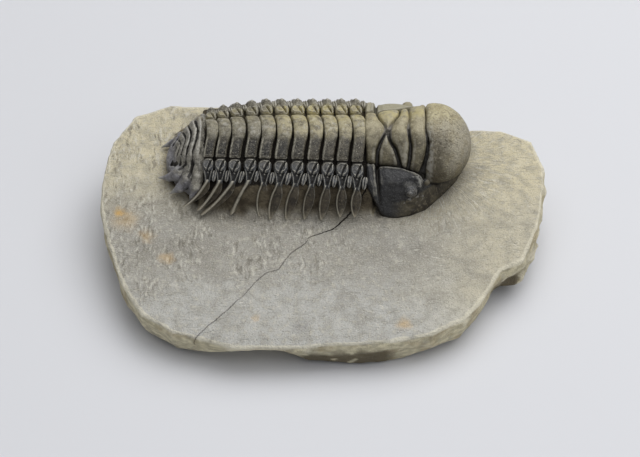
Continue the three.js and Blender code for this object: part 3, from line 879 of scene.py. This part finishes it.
# Its near side towards the back is painted darker as painted shade, and streaked there.
shaded_underside = (olive.aside + wave).between(-1.5, -6) * (olive.fore + wave).between(33, 28)
swollen = blend(shaded_underside * 0.55, swollen, (84, 77, 60))
swollen = blend(streaks * (shaded_underside * 0.85), swollen, (64, 57, 41))
spots = olive.cells(0.62)
spotted = spots.between(0.3, 0.12) * olive.grain(2, 2).between(0.42, 0.6, 0, 0.8)
swollen = blend(spotted, swollen, (72, 64, 48))
pale_grains = olive.grain(0.4, 3).between(0.5, 0.68, 0, 0.45) * (1 - shaded_underside * 0.75)
swollen = blend(pale_grains, swollen, (188, 182, 160))
swollen = olive.flecked(swollen, 0.55, 3, 0.5, 0.36, 0.4, (96, 90, 76))
rear_rim = olive.fore.between(27.4, 26.3) * olive.grain(1.1, 3).between(0.35, 0.55)
rear_rim = rear_rim * olive.aside.between(2, -2)
swollen = blend(rear_rim * 0.5, swollen, (166, 164, 156))
colour = blend(olive.mark("bulb"), colour, swollen)

slaty, _, _ = cheek_shell(olive)
far_cheek = blend(olive.aside.between(2, 6), slaty, (150, 145, 124))
colour = blend(olive.mark("cheek"), colour, far_cheek)
broken_rim = olive.grain(1.6, 3).between(0.3, 0.55)
worn_rim = olive.mark("worn").between(0.25, 0.75, 0, 0.55) * broken_rim
colour = blend(worn_rim, colour, (160, 156, 144))
blue_dust = abs(olive.aside + 0.6).between(3.4, 1.4) * olive.mark("sunk").between(0.2, 0.5)
colour = blend(blue_dust * 0.6, colour, (122, 120, 122))
# Sunk places are painted black, as dirt and painted shade, strongest on the right side.
near_dirt_and_shade, far_dirt_and_shade = olive.aside.between(0.5, -1.5, 0.4, 1), olive.aside.between(1.5, 4, 0, 0.35)
dark = olive.mark("sunk").between(0.5, 1.2) * (near_dirt_and_shade + far_dirt_and_shade)
colour = blend(dark, colour, BLACK)
height = height + spots.between(0.1, 0.35) * olive.mark("bulb")
head.data.materials.append(olive.settle(colour, bump(height, 0.16), 0.58, SHELL_GLOSS))
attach(head, "root")
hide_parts("cranidium")


# ---- The free cheeks ----
# The two outer cheeks of the head shield, of dark slate-grey shell. Each carries an eye in a
# raised ring, and a smooth border runs along its margin to the front.

slate = Finish("slate_shell")
colour, height, band = cheek_shell(slate)
worn_rim = slate.mark("worn").between(0.2, 0.6, 0, 0.7) * slate.grain(0.6, 3).between(0.36, 0.55)
colour = blend(worn_rim, colour, (168, 166, 158))
lenses = blend(slate.cells(0.3).between(0.5, 0.25), (76, 76, 77), (166, 166, 163))
colour = blend(slate.mark("eye").between(0, 0.3, 0, 0.85), colour, lenses)
flecks = slate.grain(0.9, 4).between(0.58, 0.66) * slate.mark("eye").between(-4, -1.5, 0, 0.6)
colour = blend(flecks, colour, (140, 138, 132))
colour = blend(slate.aside.between(2, 6, 0, 0.9), colour, (150, 143, 118))
# Sunk places are painted black, as dirt and painted shade.
colour = blend(slate.mark("sunk").between(0.5, 1.15), colour, BLACK)
height = height * band.between(0, 1, 1, 0.35)
slate_shell = slate.settle(colour, bump(height, 0.15), 0.55, SHELL_GLOSS)

for name, sign in (("right", -1), ("left", 1)):
    # It runs on a little under the fixed cheek, so the suture is a closed hairline.
    tucked = cheeks + 0.07 * smoothstep(free, -0.1, 0.1)
    own = np.maximum(np.maximum(tucked, free - 0.4), np.maximum(0.1 - bulb, 0.6 - sign * y))
    cheek_points, cheek_faces = skin(own, HEAD_LOW, HEAD_CELL)
    marks = {
        "worn": plan_value(cheek_relief, cheek_points),
        "sunk": np.clip(plan_value(cheek_plain, cheek_points) - cheek_points[:, 2], 0, 2),
        "band": plan_value(margin, cheek_points),
        "eye": EYE_RADIUS + 0.15 - np.linalg.norm(np.abs(cheek_points) - EYE, axis=1),
    }
    cheek_points = grained(cheek_points, cheek_faces, 31, 0.035, 0.1)
    piece = make_piece(
        f"free_cheek_and_eye_{name}", from_bedding(cheek_points), cheek_faces, **marks,
    )
    piece.data.materials.append(slate_shell)
    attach(piece, "root")
    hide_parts(f"free_cheek_{name}")


# ---- The thoracic segments ----
# Eleven plates of one pattern. Each has a ring over the body's axis, a knob on either side cut
# by a slanting slit, a waist between two thin ribs, and a hollow blade with raised edges.

# Each segment, from the head back: where it lies and what is unlike in it.
SEGMENT_SIZES = (
    "place_along_the_body", "length", "spine_lean", "spine_curl", "spine_length", "right_width",
    "left_width", "flank_loss",
)
SEGMENTS = [
    (8.1, 1, 0.7, 1.5, 0.76, 1.12, 1, 0.02), (4.4, 1, 0.6, 1.5, 0.82, 1.08, 1, 0.04),
    (0.8, 1, 1.7, 1.5, 0.93, 1.06, 1, 0.06), (-2.9, 1, 2.2, 1.5, 0.97, 1.03, 1, 0.06),
    (-6.8, 1.06, 2.9, 1.5, 1, 1.01, 1, 0.1), (-10.9, 1.1, 2.9, 1.5, 1.03, 1, 1, 0.2),
    (-14.9, 1.04, 1.5, 1.5, 0.96, 0.98, 1, 0.26), (-18.5, 1, 5.2, 1.9, 1, 0.93, 0.96, 0.36),
    (-22.4, 1, 8.8, 2.3, 0.98, 0.95, 0.9, 0.36), (-25.9, 0.92, 6.2, 2.6, 0.88, 0.93, 0.84, 0.32),
    (-29, 0.86, 6.6, 2.8, 0.78, 0.92, 0.77, 0.28),
]
BOW_OF_THE_RING, GRAIN = 0.9, 0.3
# The last plates, past this many, have blades with thick rims.
THIN_RIMMED = 7
PLATE_CELL = 0.13
RING_END, WAIST, TIP = 8.05, 14.4, 23.3


def rounded(a, s, half_a, half_s, corner):
    """Distance to a rectangle with rounded corners."""
    u, v = np.abs(a) - half_a + corner, np.abs(s) - half_s + corner
    return np.hypot(np.maximum(u, 0), np.maximum(v, 0)) + np.minimum(np.maximum(u, v), 0) - corner


def layer(edge, top, bottom, h, blend=0.18):
    """A sheet of shell of the given plan, from its underside to its upper face."""
    return soft_max(soft_max(edge, h - top, blend), bottom - h, blend)


# The plate is made flat first: a runs forwards, s outwards over the section and h out of it.
PLATE_LOW, PLATE_HIGH = (-2.7, -24.4, -1.9), (3.1, 24.4, 2.1)
UNDERSIDE, NODE_UNDERSIDE = -1.2, -1.4
a, s, h = block(PLATE_LOW, PLATE_HIGH, PLATE_CELL)
out = np.abs(s)
left = (s > 0) * 1.0

# The ring: a pillow a little longer on the left, with a raised edge behind.
ring_half = 1.46 + 0.26 * smoothstep(s, -4, 1)
pillow = np.clip(np.abs(a) / ring_half, 0, 1)**3
ring_top = 0.85 - 0.03 * out - 0.5 * pillow - 0.25 * smoothstep(out, 6.6, 8.1)
ring_top = ring_top + 0.16 * ridge(a + ring_half - 0.3, 0.2) * smoothstep(out, 2.5, 4)
ring = layer(rounded(a, s, ring_half, RING_END, 0.45), ring_top, UNDERSIDE, h)

# The knob: a dome with a raised rim, and the slit that slants across it.
KNOB_OUT, KNOB_RISE, KNOB_RIM, SLIT_DEPTH, SLIT_WIDTH = 10.15, 0.75, 0.24, 1.15, 0.2
knob_s = out - KNOB_OUT
dome = np.clip(1 - (a / 1.72)**2 - (knob_s / 1.8)**2, 0, 1)
knob_rim = ridge(rounded(a, knob_s, 1.22, 1.22, 1.1), 0.2)
knob_top = 0.25 + KNOB_RISE * dome**0.5 + KNOB_RIM * knob_rim
slit, _ = along_line(a, out, [(-0.25, 11.7), (0.1, 10.9), (0.95, 9.15)])
knob_top = knob_top - SLIT_DEPTH * ridge(slit, SLIT_WIDTH)
knob = layer(rounded(a, knob_s, 1.62, 1.64, 1.3), knob_top, UNDERSIDE, h)

# The waist: two thin ribs on the right side, and one smooth swelling on the left.
down = np.clip((out - 11.4) / (WAIST - 11.4), 0, 1)
half = 1.55 - 0.83 * down**0.75 * (1 - 0.4 * left)
ribs = ridge(np.abs(a) - half + 0.28, 0.25)
waist_top = -0.4 + 1.05 * ribs + 0.45 * ridge(np.hypot(a, out - 12.2), 0.3)
swell = np.clip(1 - np.hypot(a / 1.7, (out - 13) / 1.9), 0, 1)
waist_top = waist_top * (1 - left) + left * (0.1 + 2.0 * swell + 0.2 * ribs)
waist_edge = np.maximum(np.abs(a) - half, np.abs(out - 13) - 1.7)
waist = layer(waist_edge, np.minimum(waist_top, 1.85), UNDERSIDE, h, 0.12)

# The node in front of each waist, and the thin shell that joins it, the waist and the knob.
node_half = 0.5 + 0.1 * (15 - out)
node_edge = (np.hypot((a - 1.9 + 0.1 * (out - 13)) / node_half, (out - 13.2) / 1.6) - 1) * 0.7
node_top = (0.05 + 0.45 * left) + 0.5 * np.clip(-node_edge / 0.7, 0, 1)**0.5
node_top = node_top - 0.4 * ridge(a - 1.85 + 0.12 * (out - 13), 0.13)
node = layer(node_edge, node_top, NODE_UNDERSIDE, h)
web_edge = np.maximum(np.abs(a - 0.95) - 1.1, np.abs(out - 12.9) - 0.8)
web = layer(web_edge, -0.6, -1.5, h)
hinge_edge = np.maximum(np.abs(a) - 1.25, out - WAIST)
hinge = layer(hinge_edge, -0.35, NODE_UNDERSIDE, h)

# Half the width of a blade, by shares of the way from its root to its tip.
BLADE_WIDTH = [
    (0, 0.72), (0.12, 0.9), (0.3, 1.3), (0.5, 1.38), (0.7, 1.18), (0.88, 0.74), (1, 0.3),
]
blade_share, blade_half = smooth_line(BLADE_WIDTH).T


def blade_parts(a, out, rear_rim):
    """Across a blade: distance from its edge, and how much its rear and front rims rise."""
    reach = np.clip((out - WAIST + 0.2) / (TIP - WAIST + 0.2), 0, 1)
    half = np.interp(reach, blade_share, blade_half)
    on_blade = smoothstep(out, WAIST - 0.9, WAIST)
    rear = ridge(a + half - 1.15 * rear_rim, rear_rim) * on_blade
    return np.abs(a) - half, reach, rear, ridge(half - a - 0.22, 0.2) * on_blade


# Two masters: flat blades for the front plates, thick-rimmed ones for the last four.
flat_plates = []
for kind, rear_rim in (("front", 0.27), ("rear", 0.56)):
    blade_edge, reach, rear, fore = blade_parts(a, out, rear_rim)
    blade_top = -0.15 + (1.0 * rear + 0.15 * fore) * (1 - 0.3 * reach) + 0.15 * ridge(a - 0.2, 0.6)
    blade_edge = np.maximum(blade_edge, np.maximum(WAIST - 0.3 - out, out - TIP))
    blade = layer(blade_edge, blade_top, -0.95 + 0.5 * reach, h, 0.12)
    plate = soft_min(soft_min(ring, knob, 0.1), soft_min(waist, blade, 0.15), 0.1)
    plate = soft_min(soft_min(plate, node, 0.1), soft_min(web, hinge, 0.1), 0.12)
    plate_points, plate_faces = skin(plate, PLATE_LOW, PLATE_CELL)
    along, across, height = plate_points.T
    panel = smoothstep(-across, 2.6, 3.6) * (1 - smoothstep(-across, 7.2, 7.7))
    panel *= 1 - smoothstep(np.abs(along - 0.1), 0.8, 1.05)
    ledge = smoothstep(-across, 2, 3.4) * (1 - smoothstep(-across, 7.6, 8))
    ledge = ledge * smoothstep(-along, 0.85, 1.1)
    _, _, rear, fore = blade_parts(along, np.abs(across), rear_rim)
    flat_plates.append(make_piece(
        f"flat_{kind}_plate", plate_points / MM, plate_faces, across=across, panel=panel,
        worn=hollowness(plate_points, plate_faces, 12), ledge=ledge,
        sunk=smoothstep(0.45 - height, 0, 1.1), rim=rear + 0.15 * fore,
        node=1 - np.hypot((along - 1.9) / 0.86, (np.abs(across) - 13.2) / 1.7),
    ))

flank_paths = []
for name, corners in (("right_flank_path", RIGHT_FLANK), ("left_flank_path", LEFT_FLANK)):
    path = bpy.data.curves.new(name, "CURVE")
    path.dimensions = "3D"
    run = path.splines.new("POLY")
    line = smooth_line(corners)
    run.points.add(len(line) - 1)
    for corner, (out_y, up_z) in zip(run.points, line):
        corner.co = (0, out_y, up_z, 1)
    flank_paths.append(stand(name, path))

bend = bpy.data.node_groups.new("bend_a_plate", "GeometryNodeTree")
bend.interface.new_socket("Geometry", in_out="INPUT", socket_type="NodeSocketGeometry")
for kind, names in (
    ("NodeSocketObject", ("Right flank path", "Left flank path")),
    ("NodeSocketFloat", (
        "Place along the body", "Length", "Spine lean", "Spine curl", "Spine length",
        "Right width", "Left width", "Bow of the ring", "Flank loss", "Grain", "Seed",
    )),
    ("NodeSocketMaterial", ("Finish",)),
):
    for name in names:
        bend.interface.new_socket(name, in_out="INPUT", socket_type=kind)
bend.interface.new_socket("Geometry", in_out="OUTPUT", socket_type="NodeSocketGeometry")
given = {
    socket.name: Step(bend, socket) for socket in bend.nodes.new("NodeGroupInput").outputs
}
flat_place = lay(bend, "GeometryNodeInputPosition")
flat_along, flat_across, flat_height = flat_place.parts()
far_out = abs(flat_across)
is_left = flat_across.math("GREATER_THAN", 0)

# Beyond the waist the way along the flank is drawn out or in, for longer or shorter spines.
spine_way = (far_out - WAIST).math("MAXIMUM", 0)
walked = far_out.math("MINIMUM", WAIST) + spine_way * given["Spine length"]


def on_flank(reading):
    """The parts of a reading taken along the right or the left flank path, as the side asks."""
    right_one, left_one = (lay(
        bend, "GeometryNodeSampleCurve", {"mode": "LENGTH"}, out=reading,
        Curves=lay(bend, "GeometryNodeObjectInfo", out=4, Object=given[flank]), Length=walked,
    ) for flank in ("Right flank path", "Left flank path"))
    return lay(
        bend, "ShaderNodeMix", {"data_type": "VECTOR"}, out=1,
        i0=is_left, i4=right_one, i5=left_one,
    ).parts()


_, path_out, path_up = on_flank("Position")
_, heading_out, heading_up = on_flank("Tangent")
seed = lay(bend, "ShaderNodeCombineXYZ", X=given["Seed"], Y=given["Seed"])
grain_at = lay(bend, "ShaderNodeVectorMath", {"operation": "ADD"}, i0=flat_place, i1=seed)
coarse, fine = (
    lay(bend, "ShaderNodeTexNoise", Vector=grain_at, Scale=scale, Detail=2) for scale in (0.9, 2.6)
)
swell = (coarse - 0.5) * 0.5 + (fine - 0.5) * 0.35
panel_here = lay(
    bend, "GeometryNodeInputNamedAttribute", {"data_type": "FLOAT"}, Name="panel",
)
off_path = flat_height + (swell * given["Grain"] - panel_here * given["Flank loss"])
side_width = lay(
    bend, "ShaderNodeMix", {"data_type": "FLOAT"},
    i0=is_left, i2=given["Right width"], i3=given["Left width"],
)
bent_y = (path_out - heading_up * off_path) * side_width * (is_left * 2 - 1)
bent_z = path_up + heading_out * off_path
bow = given["Bow of the ring"] * (1 - far_out.between(0.5, 8.5))
lean = given["Spine lean"] * (1 - is_left * 0.6)
lean = lean * far_out.between(11, 23.4, ease="LINEAR").math("POWER", given["Spine curl"])
bent_x = flat_along * given["Length"] + ((given["Place along the body"] + bow) - lean)
bent = lay(
    bend, "GeometryNodeSetPosition", Geometry=given["Geometry"],
    Position=lay(bend, "ShaderNodeCombineXYZ", X=bent_x, Y=bent_y, Z=bent_z),
)
placed = lay(
    bend, "GeometryNodeTransform", Geometry=bent, Rotation=(BEDDING_TILT, 0, 0),
    Translation=BEDDING_ORIGIN * MM, Scale=(MM, MM, MM),
)
real = lay(bend, "GeometryNodeRealizeInstances", Geometry=placed)
finished = lay(bend, "GeometryNodeSetMaterial", Geometry=real, Material=given["Finish"])
bend.links.new(finished.socket, bend.nodes.new("NodeGroupOutput").inputs[0])


def set_inputs(modifier, tree, **values):
    """Gives a tree's named inputs their values, before the object is first evaluated."""
    modifier.node_group = tree
    for socket in tree.interface.items_tree:
        key = socket.name.lower().replace(" ", "_")
        if socket.in_out == "INPUT" and key in values:
            modifier[socket.identifier] = values[key]


def as_plain_mesh(piece, name):
    """What the piece's modifiers make of it, as a mesh with no modifiers."""
    seen = piece.evaluated_get(bpy.context.evaluated_depsgraph_get())
    mesh = bpy.data.meshes.new_from_object(seen)
    piece.modifiers.clear()
    return stand(name, mesh)


umber = Finish("umber_shell")
across = umber.mark("across")
reach_out = abs(across)
wave = (umber.grain(3, 3) - 0.5) * 3.4
sideways = across + wave
near_side, height = shell(umber, (40, 36, 28), (72, 67, 56), (128, 122, 104), 0.34)
far_side, _ = shell(umber, (112, 105, 84), (154, 146, 118), (194, 186, 160), 0.34)
greyed, _ = shell(umber, (66, 63, 55), (112, 108, 97), (176, 172, 160), 0.3)
far_side = blend((umber.fore + wave).between(-9, -16) * 0.7, far_side, greyed)
far_side = blend(across.between(10.5, 12) * 0.8, far_side, greyed)
yellow = umber.grain(2.2, 3).between(0.42, 0.56) * sideways.between(1, 4.5)
yellow = yellow * across.between(12.5, 11)
yellow = yellow * umber.fore.between(-18, -6, 0.35, 1)
far_side = blend(yellow * 0.6, far_side, (176, 164, 108))
far_side = umber.flecked(far_side, 1.7, 4, 0.46, 0.34, 0.4, (88, 82, 66))
far_side = umber.flecked(far_side, 1.1, 4, 0.5, 0.68, 0.4, (176, 174, 166))
colour = blend(sideways.between(-3.8, -0.4), near_side, far_side)

# Low on the right of each ring a dark panel is sunk, with a pale ledge behind it, a painted
# highlight.
panels = umber.mark("panel") * umber.fore.between(4, -12, 0.1, 0.95)
panels = panels * (across + wave).between(-2, -4.4)
speckled = blend(umber.grain(0.5, 3).between(0.48, 0.7), (30, 28, 24), (92, 88, 78))
colour = blend(panels, colour, speckled)
# The ledge is painted pale as a painted highlight.
ledge_highlights = umber.mark("ledge") * umber.fore.between(8, -8, 0.3, 0.85)
ledge_highlights = ledge_highlights * umber.grain(0.7, 3).between(0.36, 0.52, 0.3, 1)
colour = blend(ledge_highlights, colour, (150, 146, 132))
colour = umber.flecked(colour, 0.26, 2, 0.62, 0.7, 0.5, (190, 185, 168))

# On the right side the ribs and knobs are slaty, the blades brown; the left side is all pale.
right_side = across.between(1, -1)
bluish, _ = shell(umber, (44, 45, 48), (78, 80, 84), (150, 152, 154), 0.24)
in_waist = reach_out.between(8.2, 11.6, 0.3, 1) * reach_out.between(15.6, 14.6)
in_waist = in_waist * reach_out.between(8.2, 8.6)
colour = blend((in_waist * right_side) * 0.85, colour, bluish)
spine, _ = shell(umber, (44, 39, 31), (68, 61, 49), (100, 92, 75), 0.5)
colour = blend(reach_out.between(14.6, 15.6) * right_side, colour, spine)
rims = umber.mark("rim").between(0.45, 0.85) * umber.grain(1.2, 3).between(0.3, 0.5, 0.5, 1)
rims = rims * umber.fore.between(-4, -18, 0.45, 0.85)
colour = blend(rims, colour, (160, 155, 140))
dusty_tip = (reach_out + wave).between(20.5, 23.5, 0, 0.6)
colour = blend(dusty_tip, colour, (146, 139, 122))
streaks = umber.grain(0.5, 3, (0.5, 3, 3)).between(0.4, 0.62)
streaky = blend(streaks, (42, 42, 44), (122, 123, 125))
colour = blend(umber.mark("node").between(0.05, 0.3) * right_side, colour, streaky)
ragged_worn = umber.mark("worn") + (umber.grain(0.6, 3) - 0.5) * 0.1
edge = ragged_worn.between(-0.055, -0.115) * reach_out.between(14.4, 15.4, 1, 0.3)
colour = blend(edge * 0.75, colour, (168, 164, 152))

# The joints are painted black, as dirt and painted shade, most on the right side.
dirt_and_shade_share = across.between(-5, -1, 1, 0.3)
deep = umber.mark("sunk").between(0.45, 0.95) * across.between(16, 11)
deep = deep.math("MAXIMUM", umber.mark("worn").between(0.03, 0.11, 0, 0.9))
colour = blend(deep * dirt_and_shade_share, colour, BLACK)
umber_shell = umber.settle(colour, bump(height, 0.16), 0.55, SHELL_GLOSS)

for index, sizes in enumerate(SEGMENTS):
    flat_plate = flat_plates[index >= THIN_RIMMED]
    modifier = flat_plate.modifiers.new("bend", "NODES")
    set_inputs(
        modifier, bend, right_flank_path=flank_paths[0], left_flank_path=flank_paths[1],
        bow_of_the_ring=BOW_OF_THE_RING, grain=GRAIN, seed=7.3 * index, finish=umber_shell,
        **{name: float(size) for name, size in zip(SEGMENT_SIZES, sizes)},
    )
    number = f"{index + 1:02d}"
    segment = as_plain_mesh(flat_plate, f"segment_{number}")
    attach(segment, "root")
    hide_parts(f"thoracic_segment_{number}")
for helper in flat_plates + flank_paths:
    bpy.data.objects.remove(helper)


# ---- The tail shield ----
# The last plate, smooth blue-grey shell with the ends of five rings along its middle and
# three pairs of short spines that reach back over the rock.

TAIL_CELL = 0.16
TAIL_OUTLINE = [
    (-29.9, 11.9), (-32, 12.4), (-34.2, 11.2), (-35.4, 10), (-36.6, 8.6), (-37.9, 7.4),
    (-38.8, 5.6), (-39.8, 4.2), (-40.4, 2.4), (-40.7, 0),
]
# The rings along its middle: where each lies, how far it reaches to the side, half its length
# and how high it stands.
TAIL_RINGS = [
    (-31.9, 7.3, 0.8, 0.8), (-33.7, 6.6, 0.78, 0.95), (-35.3, 5.6, 0.7, 0.9),
    (-36.7, 4.5, 0.6, 0.75), (-37.9, 3.3, 0.5, 0.55),
]
# Furrows between the roots of the spines: x, distance from the midline, depth and half-width.
TAIL_FURROWS = [
    [(-33, 7.6, 0.9, 0.5), (-34, 9.6, 1.0, 0.5), (-34.9, 11, 1.2, 0.5), (-36, 12, 1.4, 0.5)],
    [(-35.7, 6.4, 0.7, 0.45), (-36.9, 7.4, 1.0, 0.45), (-38, 8.4, 1.4, 0.5)],
    [(-37.4, 4.4, 0.6, 0.4), (-39, 3.2, 0.5, 0.45)],
]
# Each spine, from the shield to its tip: x, distance from the midline, height and half-width.
TAIL_SPINES = [
    [(-36.6, 6.8, 4.4, 2.1), (-39.4, 6.5, 2.6, 1.0), (-42.3, 5.8, 1.6, 0.15)],
    [(-34.3, 9, 5.2, 1.8), (-36.4, 10.4, 3.2, 1.15), (-39.2, 11, 1.5, 0.1)],
    [(-31.6, 10.2, 7.4, 1.3), (-32.2, 12.2, 5.6, 1.35), (-32.9, 13.5, 3.6, 0.9),
     (-33.9, 14.4, 1.8, 0.2)],
]

TAIL_LOW, TAIL_HIGH = (-43.4, -16.6, -0.6), (-29.2, 16.6, 14.4)
x, y, z = block(TAIL_LOW, TAIL_HIGH, TAIL_CELL)
px, py = np.broadcast_arrays(x[:, :, 0], y[:, :, 0])
side = np.abs(py)
tail_plain = tail_height(px, side)
tail_top = tail_plain + 0.12 * lumps(np.stack([px, py, 0 * px], -1), 2.6, 51)
for ring_x, reach, ring_half, rise in TAIL_RINGS:
    bow = px - ring_x - 1.2 * (1 - smoothstep(side, 0, reach)) + 0.3
    dome = np.clip(1 - (bow / ring_half)**2, 0, 1) * np.clip(1 - (side / reach)**6, 0, 1)
    tail_top = tail_top + rise * dome**0.5
    tail_top = tail_top - 0.8 * ridge(np.hypot(bow + ring_half, side - reach + 0.3), 0.6)
for line in TAIL_FURROWS:
    depth, _ = furrow(px, side, line)
    tail_top = tail_top - depth
tail_edge, _ = within_outline(px, py, mirrored(TAIL_OUTLINE))
tail_relief = tail_top - blurred(tail_top, round(WORN_REACH / TAIL_CELL))
# It lies lower than the segments, and lowest where it slips under the last of them.
tail_top = tail_top - 0.7 - 0.8 * smoothstep(px, -31.3, -30.3)
slope = 1 / np.sqrt(1 + (0.16 * side)**2 + 0.8)[..., None]
tail = soft_max((z - tail_top[..., None]) * slope, tail_edge[..., None], 0.6)
tail = np.maximum(tail, (tail_plain - 3.4)[..., None] - z)
# The left side is narrower and lies flatter.
LEFT_NARROWER, LEFT_FLATTER = 0.14, 0.25
tail_left = y > 0
for line in TAIL_SPINES:
    for base, tip in zip(line[:-1], line[1:]):
        axis = np.array(tip[:3]) - base[:3]
        off = [
            x - base[0], np.abs(y) / (1 - LEFT_NARROWER * tail_left) - base[1],
            z - base[2] * (1 - LEFT_FLATTER * tail_left),
        ]
        t = np.clip(sum(o * a for o, a in zip(off, axis)) / (axis @ axis), 0, 1)
        gap = np.sqrt(sum((o - t * a)**2 for o, a in zip(off, axis)))
        tail = soft_min(tail, gap - base[3] - (tip[3] - base[3]) * t, 0.4)
tail_points, tail_faces = skin(tail, TAIL_LOW, TAIL_CELL)
relief_here, tail_out = (
    look_up(table, TAIL_LOW[:2], TAIL_CELL, tail_points[:, 0], tail_points[:, 1])
    for table in (tail_relief, tail_edge)
)
tail_sunk = np.clip(0.25 - 4.4 * relief_here, 0, 2) * smoothstep(-tail_out, 0.3, 1.4)
tail_worn = hollowness(tail_points, tail_faces, 14)
dusted = smoothstep(tail_points[:, 2], 4, 7)
tail_points = grained(tail_points, tail_faces, 61, 0.03 + 0.1 * dusted, 0.05)
tail_piece = make_piece(
    "tail_shield", from_bedding(tail_points), tail_faces, worn=tail_worn, sunk=tail_sunk,
)

blue_grey = Finish("blue_grey_shell")
colour, height = shell(blue_grey, (92, 91, 95), (128, 127, 131), (168, 166, 167), 0.45)
# Fine dust lies over the rings; the spines are bare.
dusty = blue_grey.above + (blue_grey.grain(2, 3) - 0.5) * 5
olive_dust, _ = shell(blue_grey, (84, 81, 72), (132, 128, 116), (192, 188, 176), 0.3)
colour = blend(dusty.between(4.6, 7.2, 0, 0.9), colour, olive_dust)
patch = blue_grey.grain(3, 3).between(0.46, 0.56) * blue_grey.aside.between(3, 7)
colour = blend(patch, colour, blend(blue_grey.grain(0.7, 3), (88, 76, 50), (138, 126, 94)))
worn = blue_grey.mark("worn")
colour = blend(worn.between(-0.05, -0.13, 0, 0.6), colour, (172, 170, 162))
# Hollows and sunk places are painted black, as dirt and painted shade.
colour = blend(worn.between(0.05, 0.15, 0, 0.9), colour, BLACK)
colour = blend(blue_grey.mark("sunk").between(0.5, 1.3), colour, BLACK)
blue_grey_shell = blue_grey.settle(colour, bump(height, 0.12), 0.48, SHELL_GLOSS)
tail_piece.data.materials.append(blue_grey_shell)
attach(tail_piece, "root")
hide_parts("pygidium")


# ---- Floor, light and camera ----
# A plain pale floor under one soft lamp from behind on the right, a wide one overhead and a
# weak one in front, and the camera's view down on the right side of the shell.

FLOOR_HALF, FLOOR_COLOUR = 3, (0.62, 0.625, 0.65, 1)
floor_mesh = bpy.data.meshes.new("floor")
corners = [(-1, -1), (1, -1), (1, 1), (-1, 1)]
floor_mesh.from_pydata(
    [(a * FLOOR_HALF, b * FLOOR_HALF, 0) for a, b in corners], [], [(0, 1, 2, 3)],
)
floor = stand("floor", floor_mesh)
floor_paint = bpy.data.materials.new("floor_paint")
floor_paint.use_nodes = True
paint = floor_paint.node_tree.nodes["Principled BSDF"].inputs
paint["Base Color"].default_value = FLOOR_COLOUR
paint["Roughness"].default_value = 0.9
floor_mesh.materials.append(floor_paint)
floor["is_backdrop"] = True

world = bpy.data.worlds.new("studio")
bpy.context.scene.world = world
world.use_nodes = True
air = world.node_tree.nodes["Background"].inputs
air["Color"].default_value = (0.95, 0.97, 1, 1)
air["Strength"].default_value = 0.24

# Each lamp's place, turn in degrees, width and power.
for name, place, turn, size, energy in (
    ("softbox", (0.28, 0.3, 0.8), (-20, 19, 0), 0.9, 6.3),
    ("overhead", (0, -0.1, 1.2), (-5, 0, 0), 1.5, 6),
    ("fill", (0.55, -0.5, 0.7), (36, 38, 0), 0.8, 1.9),
):
    lamp = bpy.data.lights.new(name, "AREA")
    lamp.size = size
    lamp.energy = energy
    lamp_stand = stand(name, lamp)
    lamp_stand.location = place
    lamp_stand.rotation_euler = [math.radians(angle) for angle in turn]

lens = bpy.data.cameras.new("camera")
lens.lens = 85
lens.sensor_width = 36
camera = stand("camera", lens)
camera.location = (-0.001155, -0.27262, 0.27795)
camera.rotation_euler = (math.radians(45.6), 0, 0)
bpy.context.scene.camera = camera
bpy.context.scene.view_settings.view_transform = "Standard"

low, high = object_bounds()
size = {
    "cad": [list(corner) for corner in cad_box],
    "looks": [list(low), list(high)],
}
